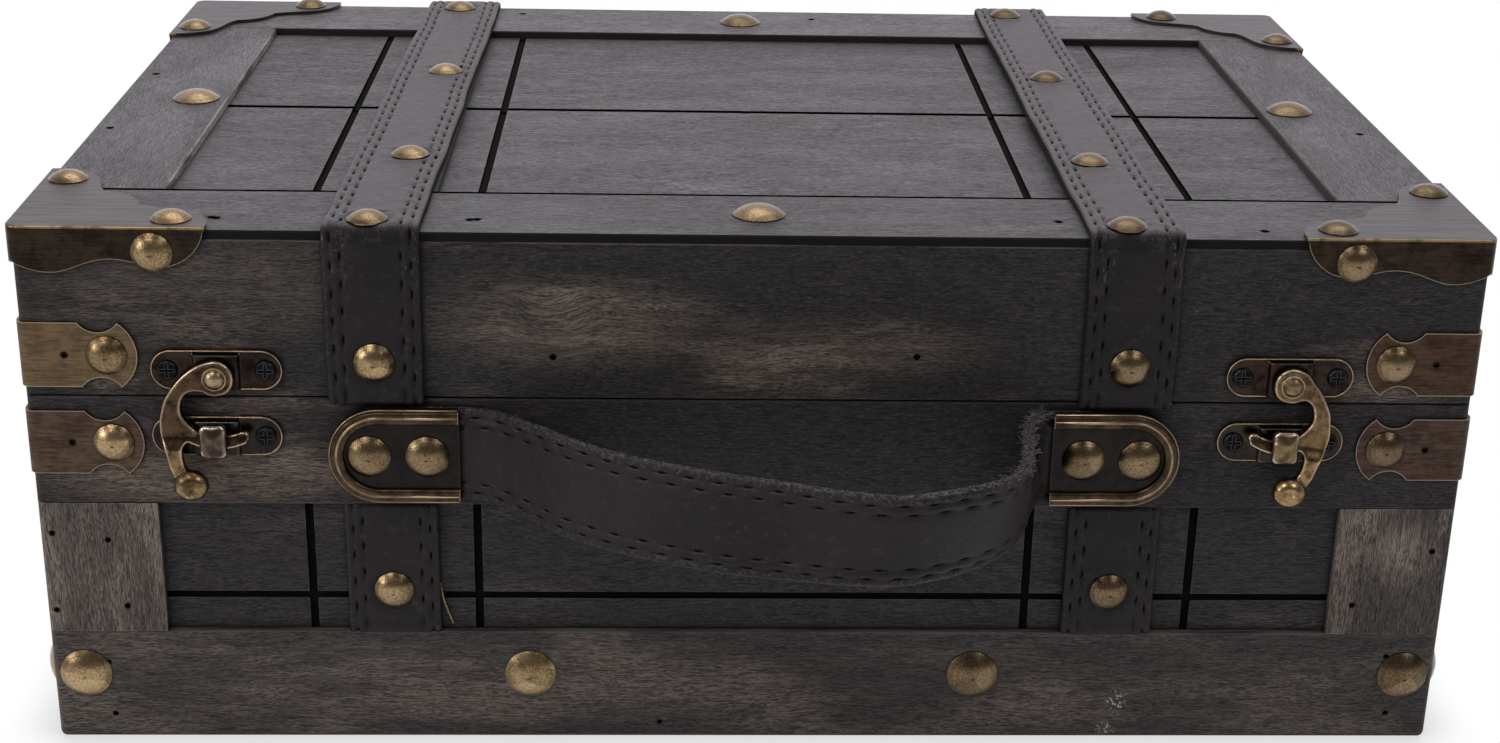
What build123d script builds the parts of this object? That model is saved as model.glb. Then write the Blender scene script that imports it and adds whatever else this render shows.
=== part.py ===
from build123d import *
import os
from math import cos, degrees, radians, sin

os.makedirs("parts", exist_ok=True)

# A small wooden trunk shaped like a suitcase, in millimetres.
# +X is to the right seen from the front, the front looks along -Y, and +Z is up.
# The origin is the centre of the underside.

# Case
box_width = 300.0
box_depth = 202.0
base_height = 80.0
lid_height = 36.0
seam_gap = 0.3
board = 6.2
strip = 1.8
floor_thickness = 5.0
edge_round = 1.5
edge_break = 0.3

# Rails, stiles and grooves
bottom_rail = 26.0
top_rail = 24.0
stile = 25.0
frame_rail = 28.0
frame_stile = 25.3
groove_width = 1.8
groove_depth = 1.0
fine_groove = 1.0
long_groove = 1.6
groove_inset = 73.7
groove_offset = 17.6
base_groove_rise = 8.0
side_groove_inset = 60.0

# Leather
strap_width = 19.5
strap_thickness = 1.7
strap_inset = 73.4
handle_leather = 2.4
handle_width = 20.0
handle_bow = 39.0
handle_bend = 5.0
handle_turn = 76.0
handle_up = 30.0
handle_cut_gap = 0.4
strap_lid_tack_rise = 8.2
strap_base_tack_rise = 10.0
strap_round = 2.3

# Thin plates on the corners
wrap_sheet = 0.6
wrap_height = 14.0
wrap_tack_inset = 17.3
wrap_tip = 6.2
wrap_lid_rise = 9.0
wrap_base_drop = 10.0
wrap_hole = 0.5
wrap_hole_inset = 8.8
corner_sheet = 0.9
corner_leg = 38.8
corner_face_leg = 38.5
corner_drop = 8.9
corner_top_tack = 31.2
corner_face_tack = 28.1
corner_tack_inset = 4.5

# Handle plates
plate_length = 27.0
plate_height = 21.0
plate_sheet = 0.9
plate_overlap = 15.0
plate_drop = 11.6
rim_lip = 0.35
rim_width = 3.0
rim_height = 0.95
rim_round = 0.85
plate_tack_pitch = 12.0
plate_tack_inset = 6.6
plate_tack = 4.5

# Dome tacks
small_tack = 4.15
small_dome = 2.0
large_tack = 5.5
large_dome = 2.3
tack_rim = 0.25
shank = 0.6
shank_length = 6.0
shank_point = 1.0
shank_clearance = 0.08
rail_tack_rise = 16.0
rail_tack_inset = 7.0
middle_tack_inset = 102.0
frame_tack_inset = 18.0

# Latches
latch_inset = 39.3
latch_length = 26.7
latch_height = 8.6
latch_sheet = 0.8
latch_pad = 1.0
latch_pad_length = 9.4
latch_notch = 0.8
latch_screw_pitch = 19.9
latch_plate_rise = 6.0
pivot_rise = 5.1
rivet = 1.2
rivet_head = 2.1
rivet_dome = 1.0
pivot_clearance = 0.05
side_play = 0.15
arm_thickness = 2.0
arm_boss = 3.65
right_arm_turn = 8.5
finger_radius = 13.8
finger_thickness = 2.0
finger_start = -19.0
finger_end = 20.0
crotch_angle = -25.0
arm_reach = 16.6
tail_root = 13.2
tail_step = 1.35
tail_ball = 3.05
tail_ball_rise = 1.9
keeper_lift = 0.1
keeper_shift = 0.7
keeper_clearance = 0.35
keeper_head_play = 0.6
keeper_width = 5.5
keeper_head = 7.3
keeper_thickness = 1.5
keeper_shelf = 3.2
keeper_round = 0.5

# Screws
screw_head = 2.1
screw_head_height = 0.7
screw_shank = 0.9
screw_length = 5.0
screw_slot = 0.55
screw_slot_length = 2.9
screw_slot_depth = 0.4
screw_head_edge = 0.25

# Hinges on the back
hinge_inset = 43.0
hinge_length = 24.0
hinge_leaf = 11.0
hinge_sheet = 0.9
knuckle = 2.2
knuckle_count = 5
knuckle_play = 0.15
hinge_pin = 1.0
pin_clearance = 0.05
pin_head = 1.7
pin_head_length = 0.8
hinge_clearance = 0.3
hinge_screw_pitch = 14.0
hinge_screw_rise = 7.0
lid_angle = 105.0
stop_margin = 1.0
stop_reach = 3.6
stop_thickness = 0.9

# Derived sizes
wall = board + strip
half_w = box_width / 2
half_d = box_depth / 2
top = base_height + lid_height
lid_bottom = base_height + seam_gap
frame_seat = top - strip
rail_low = base_height - top_rail
panel_height = rail_low - bottom_rail
panel_middle = (bottom_rail + rail_low) / 2
strap_x = half_w - strap_inset
latch_x = half_w - latch_inset
plate_inner = strap_x - plate_overlap
plate_outer = plate_inner + plate_length
plate_z = base_height - plate_drop
pivot_z = lid_bottom + pivot_rise
latch_plate_z = lid_bottom + latch_plate_rise
finger_z = pivot_z - finger_radius
keeper_z = finger_z + keeper_lift
arm_back = latch_sheet + latch_pad + side_play
wrap_lid_z = lid_bottom + wrap_lid_rise
wrap_base_z = base_height - wrap_base_drop
hinge_x = half_w - hinge_inset
axis_y = half_d + knuckle + hinge_clearance
axis_z = base_height + seam_gap / 2
ends = (-1, 1)

# The walls, each with its normal pointing out and its own y direction up
front = Plane(origin=(0, -half_d, 0), x_dir=(1, 0, 0), z_dir=(0, -1, 0))
back = Plane(origin=(0, half_d, 0), x_dir=(-1, 0, 0), z_dir=(0, 1, 0))
left = Plane(origin=(-half_w, 0, 0), x_dir=(0, -1, 0), z_dir=(-1, 0, 0))
right = Plane(origin=(half_w, 0, 0), x_dir=(0, 1, 0), z_dir=(1, 0, 0))
lid_top = Plane.XY.offset(top)
long_walls = {"front": front, "back": back}
short_walls = {"left": left, "right": right}
wall_reach = [(front, half_w), (back, half_w), (left, half_d), (right, half_d)]


def save(part, label):
    part.label = label
    export_step(part, f"parts/{label}.step")


def place(plane, u, v, rise=0.0):
    """A place on a wall, `rise` out from it, with its z axis pointing out of the wall."""
    return plane.offset(rise).location * Location((u, v, 0))


def outward(plane):
    return Axis((0, 0, 0), plane.z_dir)


def drill(places, radius=shank + shank_clearance, depth=shank_length + shank_point):
    """Take the holes of nails or screws out of the piece being built."""
    with Locations(places):
        Cylinder(
            radius,
            depth + shank_clearance,
            align=(Align.CENTER, Align.CENTER, Align.MAX),
            mode=Mode.SUBTRACT,
        )


def drill_screws(places):
    drill(places, screw_shank + shank_clearance, screw_length)


# Places of the small tacks
strap_lid_z = lid_bottom + strap_lid_tack_rise
strap_base_z = bottom_rail + strap_base_tack_rise
strap_top_shares = (-0.97, -0.51, 0.22, 0.915)
strap_front_shift_shares = (-0.1, 0.01)
strap_top_shift_shares = ((-0.14, 0.05, 0.1, -0.03), (-0.09, -0.1, -0.05, -0.13))

lid_small_places = []
base_small_places = []
plate_tack_places = []
wrap_hole_places = []
for plane in (front, back):
    for end, shift in zip(ends, strap_front_shift_shares):
        tack_u = end * strap_x + shift * strap_width
        lid_small_places.append(place(plane, tack_u, strap_lid_z, strap_thickness))
        base_small_places.append(place(plane, end * strap_x, strap_base_z, strap_thickness - strip))
for end, shifts in zip(ends, strap_top_shift_shares):
    for share, shift in zip(strap_top_shares, shifts):
        tack_x = end * strap_x + shift * strap_width
        lid_small_places.append(place(lid_top, tack_x, share * half_d, strap_thickness))
for plane, reach in wall_reach:
    for end in ends:
        wrap_u = end * (reach - wrap_tack_inset)
        face_u = end * (reach - corner_face_tack)
        lid_small_places.append(place(plane, wrap_u, wrap_lid_z, wrap_sheet))
        lid_small_places.append(place(plane, face_u, top - corner_tack_inset, corner_sheet))
        base_small_places.append(place(plane, wrap_u, wrap_base_z, wrap_sheet))
        for middle in (wrap_lid_z, wrap_base_z):
            wrap_hole_places.append(place(plane, end * (reach - wrap_hole_inset), middle, wrap_sheet))
for end_x in ends:
    for end_y in ends:
        far_x, near_x = half_w - corner_top_tack, half_w - corner_tack_inset
        far_y, near_y = half_d - corner_top_tack, half_d - corner_tack_inset
        lid_small_places.append(place(lid_top, end_x * far_x, end_y * near_y, corner_sheet))
        lid_small_places.append(place(lid_top, end_x * near_x, end_y * far_y, corner_sheet))
for end in ends:
    for count in range(2):
        tack_u = end * (plate_inner + plate_tack_inset + count * plate_tack_pitch)
        plate_tack_places.append(place(front, tack_u, plate_z, handle_leather + plate_sheet))

# Places of the large tacks
lid_large_places = []
for end in ends:
    lid_large_places.append(place(lid_top, 0, end * (half_d - frame_rail / 2)))
    lid_large_places.append(place(lid_top, end * (half_w - frame_tack_inset), 0))
base_large_places = []
for plane, reach in wall_reach:
    for end in ends:
        base_large_places.append(place(plane, end * (reach - rail_tack_inset), rail_tack_rise))
for plane in (front, back):
    for end in ends:
        base_large_places.append(place(plane, end * (half_w - middle_tack_inset), rail_tack_rise))
for plane in (left, right):
    base_large_places.append(place(plane, 0, rail_tack_rise))

# Places of the screws
latch_screw_places = []
keeper_screw_places = []
hinge_lid_screws = []
hinge_base_screws = []
for end in ends:
    for side in ends:
        latch_u = end * latch_x + side * latch_screw_pitch / 2
        hinge_u = end * hinge_x + side * hinge_screw_pitch / 2
        latch_screw_places.append(place(front, latch_u, latch_plate_z, latch_sheet))
        keeper_screw_places.append(place(front, latch_u - keeper_shift, keeper_z, latch_sheet))
        hinge_lid_screws.append(place(back, hinge_u, lid_bottom + hinge_screw_rise, hinge_sheet))
        hinge_base_screws.append(place(back, hinge_u, base_height - hinge_screw_rise, hinge_sheet))
wall_screws = {"front": keeper_screw_places, "back": hinge_base_screws}
lid_wall_screws = {"front": latch_screw_places, "back": hinge_lid_screws}

# The outer form of the case, which rounds every piece that reaches its corners
with BuildPart() as case_form:
    with BuildSketch():
        RectangleRounded(box_width, box_depth, edge_round)
    extrude(amount=top)
    fillet(case_form.edges().group_by(Axis.Z)[0], edge_round)


def slab(plane, length, low, high, depth):
    """A board behind a wall plane, from one height to another, with its level outer edges eased."""
    with BuildPart() as piece:
        with BuildSketch(plane):
            with Locations((0, (low + high) / 2)):
                Rectangle(length, high - low)
        extrude(amount=-depth)
        face = piece.faces().sort_by(outward(plane))[-1]
        levels = face.edges().sort_by(Axis.Z)
        chamfer([levels[0], levels[-1]], edge_break)
    return piece.part


def grooves(plane, centres, length):
    """The upright grooves of a panel between its rails, and the long one across them."""
    with BuildPart() as cuts:
        with BuildSketch(plane.offset(-strip)):
            with Locations([(centre, panel_middle) for centre in centres]):
                Rectangle(groove_width, panel_height)
            with Locations((0, bottom_rail + base_groove_rise)):
                Rectangle(length, long_groove)
        extrude(amount=-groove_depth)
    return cuts.part


# Front and back of the base and of the lid
groove_x = half_w - groove_inset
strap_grooves = [end * groove_x + side * groove_offset for end in ends for side in ends]
side_grooves = [end * (half_d - side_groove_inset) for end in ends]

for name, plane in long_walls.items():
    with BuildPart() as base_board:
        with BuildSketch(plane.offset(-strip)):
            with Locations((0, base_height / 2)):
                Rectangle(box_width - 2 * strip, base_height)
        extrude(amount=-board)
        add(grooves(plane, strap_grooves, box_width - 2 * stile), mode=Mode.SUBTRACT)
        drill(base_small_places + base_large_places + plate_tack_places)
        drill_screws(wall_screws[name])
    save(base_board.part, f"base_board_{name}")

    with BuildPart() as bottom_rail_board:
        add(slab(plane, box_width, 0, bottom_rail, strip))
        add(case_form.part, mode=Mode.INTERSECT)
        drill(base_large_places)
    save(bottom_rail_board.part, f"bottom_rail_{name}")

    with BuildPart() as top_rail_board:
        add(slab(plane, box_width, rail_low, base_height, strip))
        add(case_form.part, mode=Mode.INTERSECT)
        drill(base_small_places + plate_tack_places)
        drill_screws(wall_screws[name])
    save(top_rail_board.part, f"top_rail_{name}")

    with BuildPart() as lid_plank:
        add(slab(plane, box_width, lid_bottom, frame_seat, wall))
        add(case_form.part, mode=Mode.INTERSECT)
        drill(lid_small_places)
        drill_screws(lid_wall_screws[name])
    save(lid_plank.part, f"lid_plank_{name}")

# Sides of the base and of the lid, between the front and the back
for name, plane in short_walls.items():
    with BuildPart() as base_board:
        with BuildSketch(plane.offset(-strip)):
            with Locations((0, base_height / 2)):
                Rectangle(box_depth - 2 * wall, base_height)
        extrude(amount=-board)
        add(grooves(plane, side_grooves, box_depth - 2 * stile), mode=Mode.SUBTRACT)
        drill(base_small_places + base_large_places)
    save(base_board.part, f"base_board_{name}")

    with BuildPart() as lid_plank:
        add(slab(plane, box_depth - 2 * wall, lid_bottom, frame_seat, wall))
        drill(lid_small_places)
    save(lid_plank.part, f"lid_plank_{name}")

with BuildPart() as side_rails:
    for plane in (left, right):
        add(slab(plane, box_depth - 2 * strip, 0, bottom_rail, strip))
        add(slab(plane, box_depth - 2 * strip, rail_low, base_height, strip))
    add(case_form.part, mode=Mode.INTERSECT)
    drill(base_small_places + base_large_places)
save(side_rails.part, "side_rails")

with BuildPart() as corner_stiles:
    for plane in (front, back):
        with BuildSketch(plane):
            with Locations([(end * (half_w - stile / 2), panel_middle) for end in ends]):
                Rectangle(stile, panel_height)
        extrude(amount=-strip)
    for plane in (left, right):
        with BuildSketch(plane):
            with Locations([(end * (half_d - (strip + stile) / 2), panel_middle) for end in ends]):
                Rectangle(stile - strip, panel_height)
        extrude(amount=-strip)
    add(case_form.part, mode=Mode.INTERSECT)
save(corner_stiles.part, "corner_stiles")

with BuildPart() as base_floor:
    with BuildSketch():
        Rectangle(box_width - 2 * wall, box_depth - 2 * wall)
    extrude(amount=floor_thickness)
save(base_floor.part, "base_floor")

# Top of the lid
with BuildPart() as lid_panel:
    with BuildSketch(Plane.XY.offset(frame_seat)):
        Rectangle(box_width - 2 * wall, box_depth - 2 * wall)
    extrude(amount=-board)
    with BuildSketch(Plane.XY.offset(frame_seat)):
        with Locations([(centre, 0) for centre in strap_grooves]):
            Rectangle(groove_width, box_depth - 2 * frame_rail)
        Rectangle(box_width - 2 * frame_stile, fine_groove)
    extrude(amount=-groove_depth, mode=Mode.SUBTRACT)
    drill(lid_small_places + lid_large_places)
save(lid_panel.part, "lid_panel")

for name, end in (("front", -1), ("back", 1)):
    with BuildPart() as frame_board:
        with BuildSketch(lid_top):
            with Locations((0, end * (half_d - frame_rail / 2))):
                Rectangle(box_width, frame_rail)
        extrude(amount=-strip)
        upper = frame_board.faces().sort_by(Axis.Z)[-1].edges().filter_by(Axis.X)
        chamfer(upper, edge_break)
        add(case_form.part, mode=Mode.INTERSECT)
        drill(lid_small_places + lid_large_places)
    save(frame_board.part, f"lid_frame_{name}")

with BuildPart() as lid_frame_sides:
    with BuildSketch(lid_top):
        with Locations([(end * (half_w - frame_stile / 2), 0) for end in ends]):
            Rectangle(frame_stile, box_depth - 2 * frame_rail)
    extrude(amount=-strip)
    chamfer(lid_frame_sides.edges().group_by(Axis.Z)[-1].filter_by(Axis.Y), edge_break)
    drill(lid_small_places + lid_large_places)
save(lid_frame_sides.part, "lid_frame_sides")

with BuildPart() as strap_battens:
    with BuildSketch(lid_top):
        with Locations([(end * strap_x, 0) for end in ends]):
            Rectangle(strap_width - strip, box_depth - 2 * frame_rail)
    extrude(amount=-strip)
    drill(lid_small_places)
save(strap_battens.part, "strap_battens")

# Leather straps over the lid, and the short ones in the panels of the base
for name, end in (("left", -1), ("right", 1)):
    with BuildPart() as lid_strap:
        with BuildSketch(Plane.YZ.offset(end * strap_x)) as profile:
            with Locations((0, (lid_bottom + top + strap_thickness) / 2)):
                Rectangle(box_depth + 2 * strap_thickness, lid_height - seam_gap + strap_thickness)
            fillet(profile.vertices().group_by(Axis.Y)[-1], strap_round)
            with Locations((0, (lid_bottom + top) / 2)):
                Rectangle(box_depth, lid_height - seam_gap, mode=Mode.SUBTRACT)
        extrude(amount=strap_width / 2, both=True)
        drill(lid_small_places)
    save(lid_strap.part, f"lid_strap_{name}")

for name, plane in long_walls.items():
    with BuildPart() as base_straps:
        with BuildSketch(plane.offset(-strip)):
            with Locations([(end * strap_x, panel_middle) for end in ends]):
                Rectangle(strap_width, panel_height)
        extrude(amount=strap_thickness)
        drill(base_small_places)
    save(base_straps.part, f"base_straps_{name}")

# Thin plates that wrap the upright corners: a band, a notch above and below the tack, a flared end
wrap_neck_share = 0.7
wrap_notch_share = 0.87
wrap_flare_share = 0.42


def wrap_leaf(plane, reach, end, middle):
    half = wrap_height / 2
    tack_u = reach - wrap_tack_inset
    notch_u = end * (tack_u + wrap_notch_share * wrap_tip)
    flare_u = end * (tack_u - wrap_flare_share * wrap_tip)
    corner_u = end * (reach + 2 * wrap_sheet)
    neck = (notch_u + flare_u) / 2
    with BuildPart() as leaf:
        with BuildSketch(plane.offset(2 * wrap_sheet)):
            with BuildLine():
                Line((corner_u, middle - half), (notch_u, middle - half))
                ThreePointArc((notch_u, middle - half), (neck, middle - wrap_neck_share * half),
                              (flare_u, middle - half))
                ThreePointArc((flare_u, middle - half), (end * (tack_u - wrap_tip), middle),
                              (flare_u, middle + half))
                ThreePointArc((flare_u, middle + half), (neck, middle + wrap_neck_share * half),
                              (notch_u, middle + half))
                Line((notch_u, middle + half), (corner_u, middle + half))
                Line((corner_u, middle + half), (corner_u, middle - half))
            make_face()
        extrude(amount=-(2 * wrap_sheet + edge_round))
    return leaf.part


for label, middle, places in (("lid_corner_wraps", wrap_lid_z, lid_small_places),
                              ("base_corner_wraps", wrap_base_z, base_small_places)):
    leaves = [wrap_leaf(plane, reach, end, middle) for plane, reach in wall_reach for end in ends]
    with BuildPart() as wrap_leaves:
        add(leaves)
    with BuildPart() as corner_wraps:
        with BuildSketch(Plane.XY.offset(middle - wrap_height / 2)):
            RectangleRounded(box_width + 2 * wrap_sheet, box_depth + 2 * wrap_sheet, edge_round + wrap_sheet)
            RectangleRounded(box_width, box_depth, edge_round, mode=Mode.SUBTRACT)
        extrude(amount=wrap_height)
        add(wrap_leaves.part, mode=Mode.INTERSECT)
        drill(places)
        drill(wrap_hole_places, wrap_hole, wrap_sheet)
    save(corner_wraps.part, label)

# Corner protectors of the lid: one folded plate with a scalloped leaf on the top and on two sides
top_lobe_shares = ((0.985, 0.11), (0.88, 0.25), (0.71, 0.31))
top_notch_share = (0.585, 0.365)
top_middle_share = 0.51
face_shares = ((0.0, 0.75), (0.1, 0.94), (0.22, 1.0), (0.37, 0.8), (0.49, 0.68), (0.62, 0.74),
               (0.76, 0.86), (0.89, 0.7), (0.97, 0.35), (1.0, 0.0))

with BuildPart() as corner_shell:
    with BuildSketch(Plane.XY.offset(top - corner_drop)):
        RectangleRounded(box_width + 2 * corner_sheet, box_depth + 2 * corner_sheet,
                         edge_round + corner_sheet)
    extrude(amount=corner_drop + corner_sheet)
    fillet(corner_shell.edges().group_by(Axis.Z)[-1], corner_sheet / 2)
    with BuildSketch(Plane.XY.offset(top - corner_drop)):
        RectangleRounded(box_width, box_depth, edge_round)
    extrude(amount=corner_drop, mode=Mode.SUBTRACT)

with BuildPart() as top_leaf:
    with BuildSketch(Plane.XY.offset(top)):
        with BuildLine():
            low = -2 * corner_sheet
            lobe = [(x * corner_leg, y * corner_leg) for x, y in top_lobe_shares]
            notch = (top_notch_share[0] * corner_leg, top_notch_share[1] * corner_leg)
            middle = (top_middle_share * corner_leg, top_middle_share * corner_leg)
            Line((low, low), (corner_leg, low))
            Line((corner_leg, low), (corner_leg, 0))
            Spline((corner_leg, 0), *lobe, notch)
            ThreePointArc(notch, middle, notch[::-1])
            Spline(notch[::-1], *[point[::-1] for point in reversed(lobe)], (0, corner_leg))
            Line((0, corner_leg), (low, corner_leg))
            Line((low, corner_leg), (low, low))
        make_face()
    extrude(amount=2 * corner_sheet)


def face_leaf(plane):
    """The leaf's outline on a wall plane whose x direction runs away from the corner."""
    with BuildPart() as leaf:
        with BuildSketch(plane.offset(2 * corner_sheet)):
            with BuildLine():
                points = [(x * corner_face_leg, -y * corner_drop) for x, y in face_shares]
                high = 2 * corner_sheet
                low = -2 * corner_sheet
                Line((low, high), (low, points[0][1]))
                Line((low, points[0][1]), points[0])
                Spline(*points)
                Line(points[-1], (corner_face_leg, high))
                Line((corner_face_leg, high), (low, high))
            make_face()
        extrude(amount=-(2 * corner_sheet + edge_round))
    return leaf.part


corner_point = (-half_w, -half_d, top)
front_leaf = face_leaf(Plane(origin=corner_point, x_dir=(1, 0, 0), z_dir=(0, -1, 0)))
side_leaf = mirror(
    face_leaf(Plane(origin=(half_w, -half_d, top), x_dir=(0, 1, 0), z_dir=(1, 0, 0))), about=Plane.YZ)

with BuildPart() as corner_leaves:
    add(top_leaf.part.moved(Location((-half_w, -half_d, 0))))
    add(front_leaf)
    add(side_leaf)
with BuildPart() as corner_protector:
    add(corner_shell.part)
    add(corner_leaves.part, mode=Mode.INTERSECT)
    drill(lid_small_places)
protector_right = mirror(corner_protector.part, about=Plane.YZ)
save(corner_protector.part, "corner_protector_front_left")
save(protector_right, "corner_protector_front_right")
save(mirror(corner_protector.part, about=Plane.XZ), "corner_protector_back_left")
save(mirror(protector_right, about=Plane.XZ), "corner_protector_back_right")

# Dome tacks, with a thin rim, a round shank and a point


def dome_tack(radius, height):
    with BuildPart() as tack:
        with BuildSketch(Plane.XZ):
            with BuildLine():
                TangentArc((0, height), (radius, tack_rim), tangent=(1, 0))
                Polyline((radius, tack_rim), (radius, 0), (shank, 0), (shank, -shank_length),
                         (0, -shank_length - shank_point), (0, height))
            make_face()
        revolve(axis=Axis.Z)
    return tack.part


def fasteners(piece, places, label):
    with BuildPart() as group:
        with Locations(places):
            add(piece)
    save(group.part, label)


fasteners(dome_tack(small_tack, small_dome), lid_small_places, "lid_small_tacks")
fasteners(dome_tack(small_tack, small_dome), base_small_places, "base_small_tacks")
fasteners(dome_tack(plate_tack, small_dome), plate_tack_places, "handle_plate_tacks")
fasteners(dome_tack(large_tack, large_dome), lid_large_places, "lid_large_tacks")
fasteners(dome_tack(large_tack, large_dome), base_large_places, "base_large_tacks")

# Cross-head screws
with BuildPart() as screw:
    Cylinder(screw_head, screw_head_height, align=(Align.CENTER, Align.CENTER, Align.MIN))
    chamfer(screw.edges().group_by(Axis.Z)[-1], screw_head_edge)
    with BuildSketch(Plane.XY.offset(screw_head_height)):
        Rectangle(screw_slot_length, screw_slot)
        Rectangle(screw_slot, screw_slot_length)
    extrude(amount=-screw_slot_depth, mode=Mode.SUBTRACT)
    Cylinder(screw_shank, screw_length, align=(Align.CENTER, Align.CENTER, Align.MAX))

fasteners(screw.part, latch_screw_places, "latch_screws")
fasteners(screw.part, keeper_screw_places, "keeper_screws")
fasteners(screw.part, hinge_lid_screws, "hinge_screws_lid")
fasteners(screw.part, hinge_base_screws, "hinge_screws_base")

# Handle plates


def plate_outline(end, outer, half, inner=plate_inner):
    """Straight at the inner end and half round at the outer end."""
    with BuildSketch(front) as outline:
        with Locations((end * (inner + outer - half) / 2, plate_z)):
            Rectangle(outer - half - inner, 2 * half)
        with Locations((end * (outer - half), plate_z)):
            Circle(half)
    return outline.sketch


half_plate = plate_height / 2
for name, end in (("left", -1), ("right", 1)):
    sheet = plate_outline(end, plate_outer, half_plate)
    outer_rim = plate_outline(end, plate_outer - rim_lip, half_plate - rim_lip)
    inner_rim = plate_outline(end, plate_outer - rim_lip - rim_width, half_plate - rim_lip - rim_width)
    with BuildPart() as rim:
        extrude(outer_rim.moved(Location((0, -handle_leather - plate_sheet, 0))), amount=rim_height)
        extrude(inner_rim.moved(Location((0, -handle_leather - plate_sheet, 0))), amount=rim_height,
                mode=Mode.SUBTRACT)
        ridge = rim.faces().sort_by(Axis.Y)[0].edges()
        cut_ends = ridge.filter_by(Axis.Z)
        fillet(ridge - cut_ends, rim_round)
    with BuildPart() as handle_plate:
        extrude(sheet.moved(Location((0, -handle_leather, 0))), amount=plate_sheet)
        add(rim.part)
        drill(plate_tack_places)
    save(handle_plate.part, f"handle_plate_{name}")

# Handle strap: it leaves the left plate slowly and turns sharply into the right one.
# Its line, seen from above, is in shares of the plates' inner ends and of the bow.
handle_line_shares = ((-1.0, 0.0), (-0.88, 0.065), (-0.75, 0.25), (-0.64, 0.43), (-0.48, 0.61),
                      (-0.335, 0.725), (-0.18, 0.815), (0.06, 0.92), (0.25, 0.985), (0.44, 1.0),
                      (0.63, 0.94), (0.77, 0.8), (0.855, 0.6), (0.895, 0.35))
handle_y = -half_d - handle_leather / 2
handle_cut = handle_width / 2 / cos(radians(handle_up)) + handle_cut_gap

with BuildPart() as handle_leather_whole:
    with BuildSketch(Plane.XY.offset(plate_z - handle_width / 2)):
        with BuildLine():
            bend = JernArc((plate_inner, handle_y), (-1, 0), handle_bend, handle_turn)
            points = [(x * plate_inner, handle_y - y * handle_bow) for x, y in handle_line_shares]
            Spline(*points, bend @ 1, tangents=((1, 0), -(bend % 1)), tangent_scalars=(1, 1))
        trace(line_width=handle_leather)
    extrude(amount=handle_width)
    for end in ends:
        tab = plate_outline(end, plate_outer - edge_round / 2, handle_width / 2)
        extrude(tab, amount=handle_leather)
    drill(plate_tack_places)

with BuildPart() as handle_tabs:
    add(handle_leather_whole.part)
    with Locations(Location((0, handle_y, plate_z), (0, 90, 0))):
        Cylinder(handle_cut - handle_cut_gap, box_width, mode=Mode.INTERSECT)
tabs = handle_tabs.solids().sort_by(Axis.X)
save(Part(tabs[0].wrapped), "handle_tab_left")
save(Part(tabs[-1].wrapped), "handle_tab_right")

with BuildPart() as handle_strap:
    add(handle_leather_whole.part)
    with Locations(Location((0, handle_y, plate_z), (0, 90, 0))):
        Cylinder(handle_cut, box_width, mode=Mode.SUBTRACT)
save(handle_strap.part, "handle_strap")

# Latch plates on the lid, and keepers with an open hook on the base, set a little to the left of them


def latch_sheet_part(x, middle, places):
    """A long round-ended plate with a raised middle, notched above it."""
    with BuildPart() as sheet:
        with BuildSketch(front):
            with Locations((x, middle)):
                SlotOverall(latch_length, latch_height)
            with Locations((x, middle + latch_height / 2)):
                Rectangle(latch_pad_length, 2 * latch_notch, mode=Mode.SUBTRACT)
        extrude(amount=latch_sheet)
        with BuildSketch(front.offset(latch_sheet)):
            with Locations((x, middle - latch_notch / 2)):
                Rectangle(latch_pad_length, latch_height - latch_notch)
        extrude(amount=latch_pad)
        ridge = sheet.faces().sort_by(Axis.Y)[0].edges().filter_by(Axis.Z)
        chamfer(ridge, latch_pad / 2)
        drill_screws(places)
    return sheet.part


pivot_place = place(front, -latch_x, pivot_z)
with BuildPart() as latch_plate:
    add(latch_sheet_part(-latch_x, latch_plate_z, latch_screw_places))
    with Locations(pivot_place):
        Cylinder(rivet + shank_clearance, arm_back * 2, mode=Mode.SUBTRACT)
save(latch_plate.part, "latch_plate_left")
save(mirror(latch_plate.part, about=Plane.YZ), "latch_plate_right")

shelf_top = finger_z - finger_thickness / 2 - keeper_clearance
head_low = shelf_top - keeper_thickness
head_back = arm_back + arm_thickness + keeper_head_play
for name, end in (("left", -1), ("right", 1)):
    keeper_x = end * latch_x - keeper_shift
    with BuildPart() as keeper:
        add(latch_sheet_part(keeper_x, keeper_z, keeper_screw_places))
        with BuildSketch(front.offset(latch_sheet)):
            with Locations((keeper_x, shelf_top - keeper_thickness / 2)):
                Rectangle(keeper_shelf, keeper_thickness)
        extrude(amount=head_back - latch_sheet + keeper_thickness / 2)
        with BuildSketch(front.offset(head_back)):
            with Locations((keeper_x, head_low + keeper_head / 2)):
                RectangleRounded(keeper_width, keeper_head, keeper_width / 4)
        extrude(amount=keeper_thickness)
        fillet(keeper.faces().sort_by(Axis.Y)[0].edges(), keeper_round)
    save(keeper.part, f"latch_keeper_{name}")

rivet_length = arm_back + arm_thickness + side_play
with BuildPart() as rivet_part:
    with BuildSketch(Plane.XZ):
        with BuildLine():
            TangentArc((0, rivet_length + rivet_dome), (rivet_head, rivet_length), tangent=(1, 0))
            Polyline((rivet_head, rivet_length), (rivet, rivet_length), (rivet, 0), (0, 0),
                     (0, rivet_length + rivet_dome))
        make_face()
    revolve(axis=Axis.Z)
fasteners(rivet_part.part, [place(front, end * latch_x, pivot_z) for end in ends], "latch_rivets")

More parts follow.
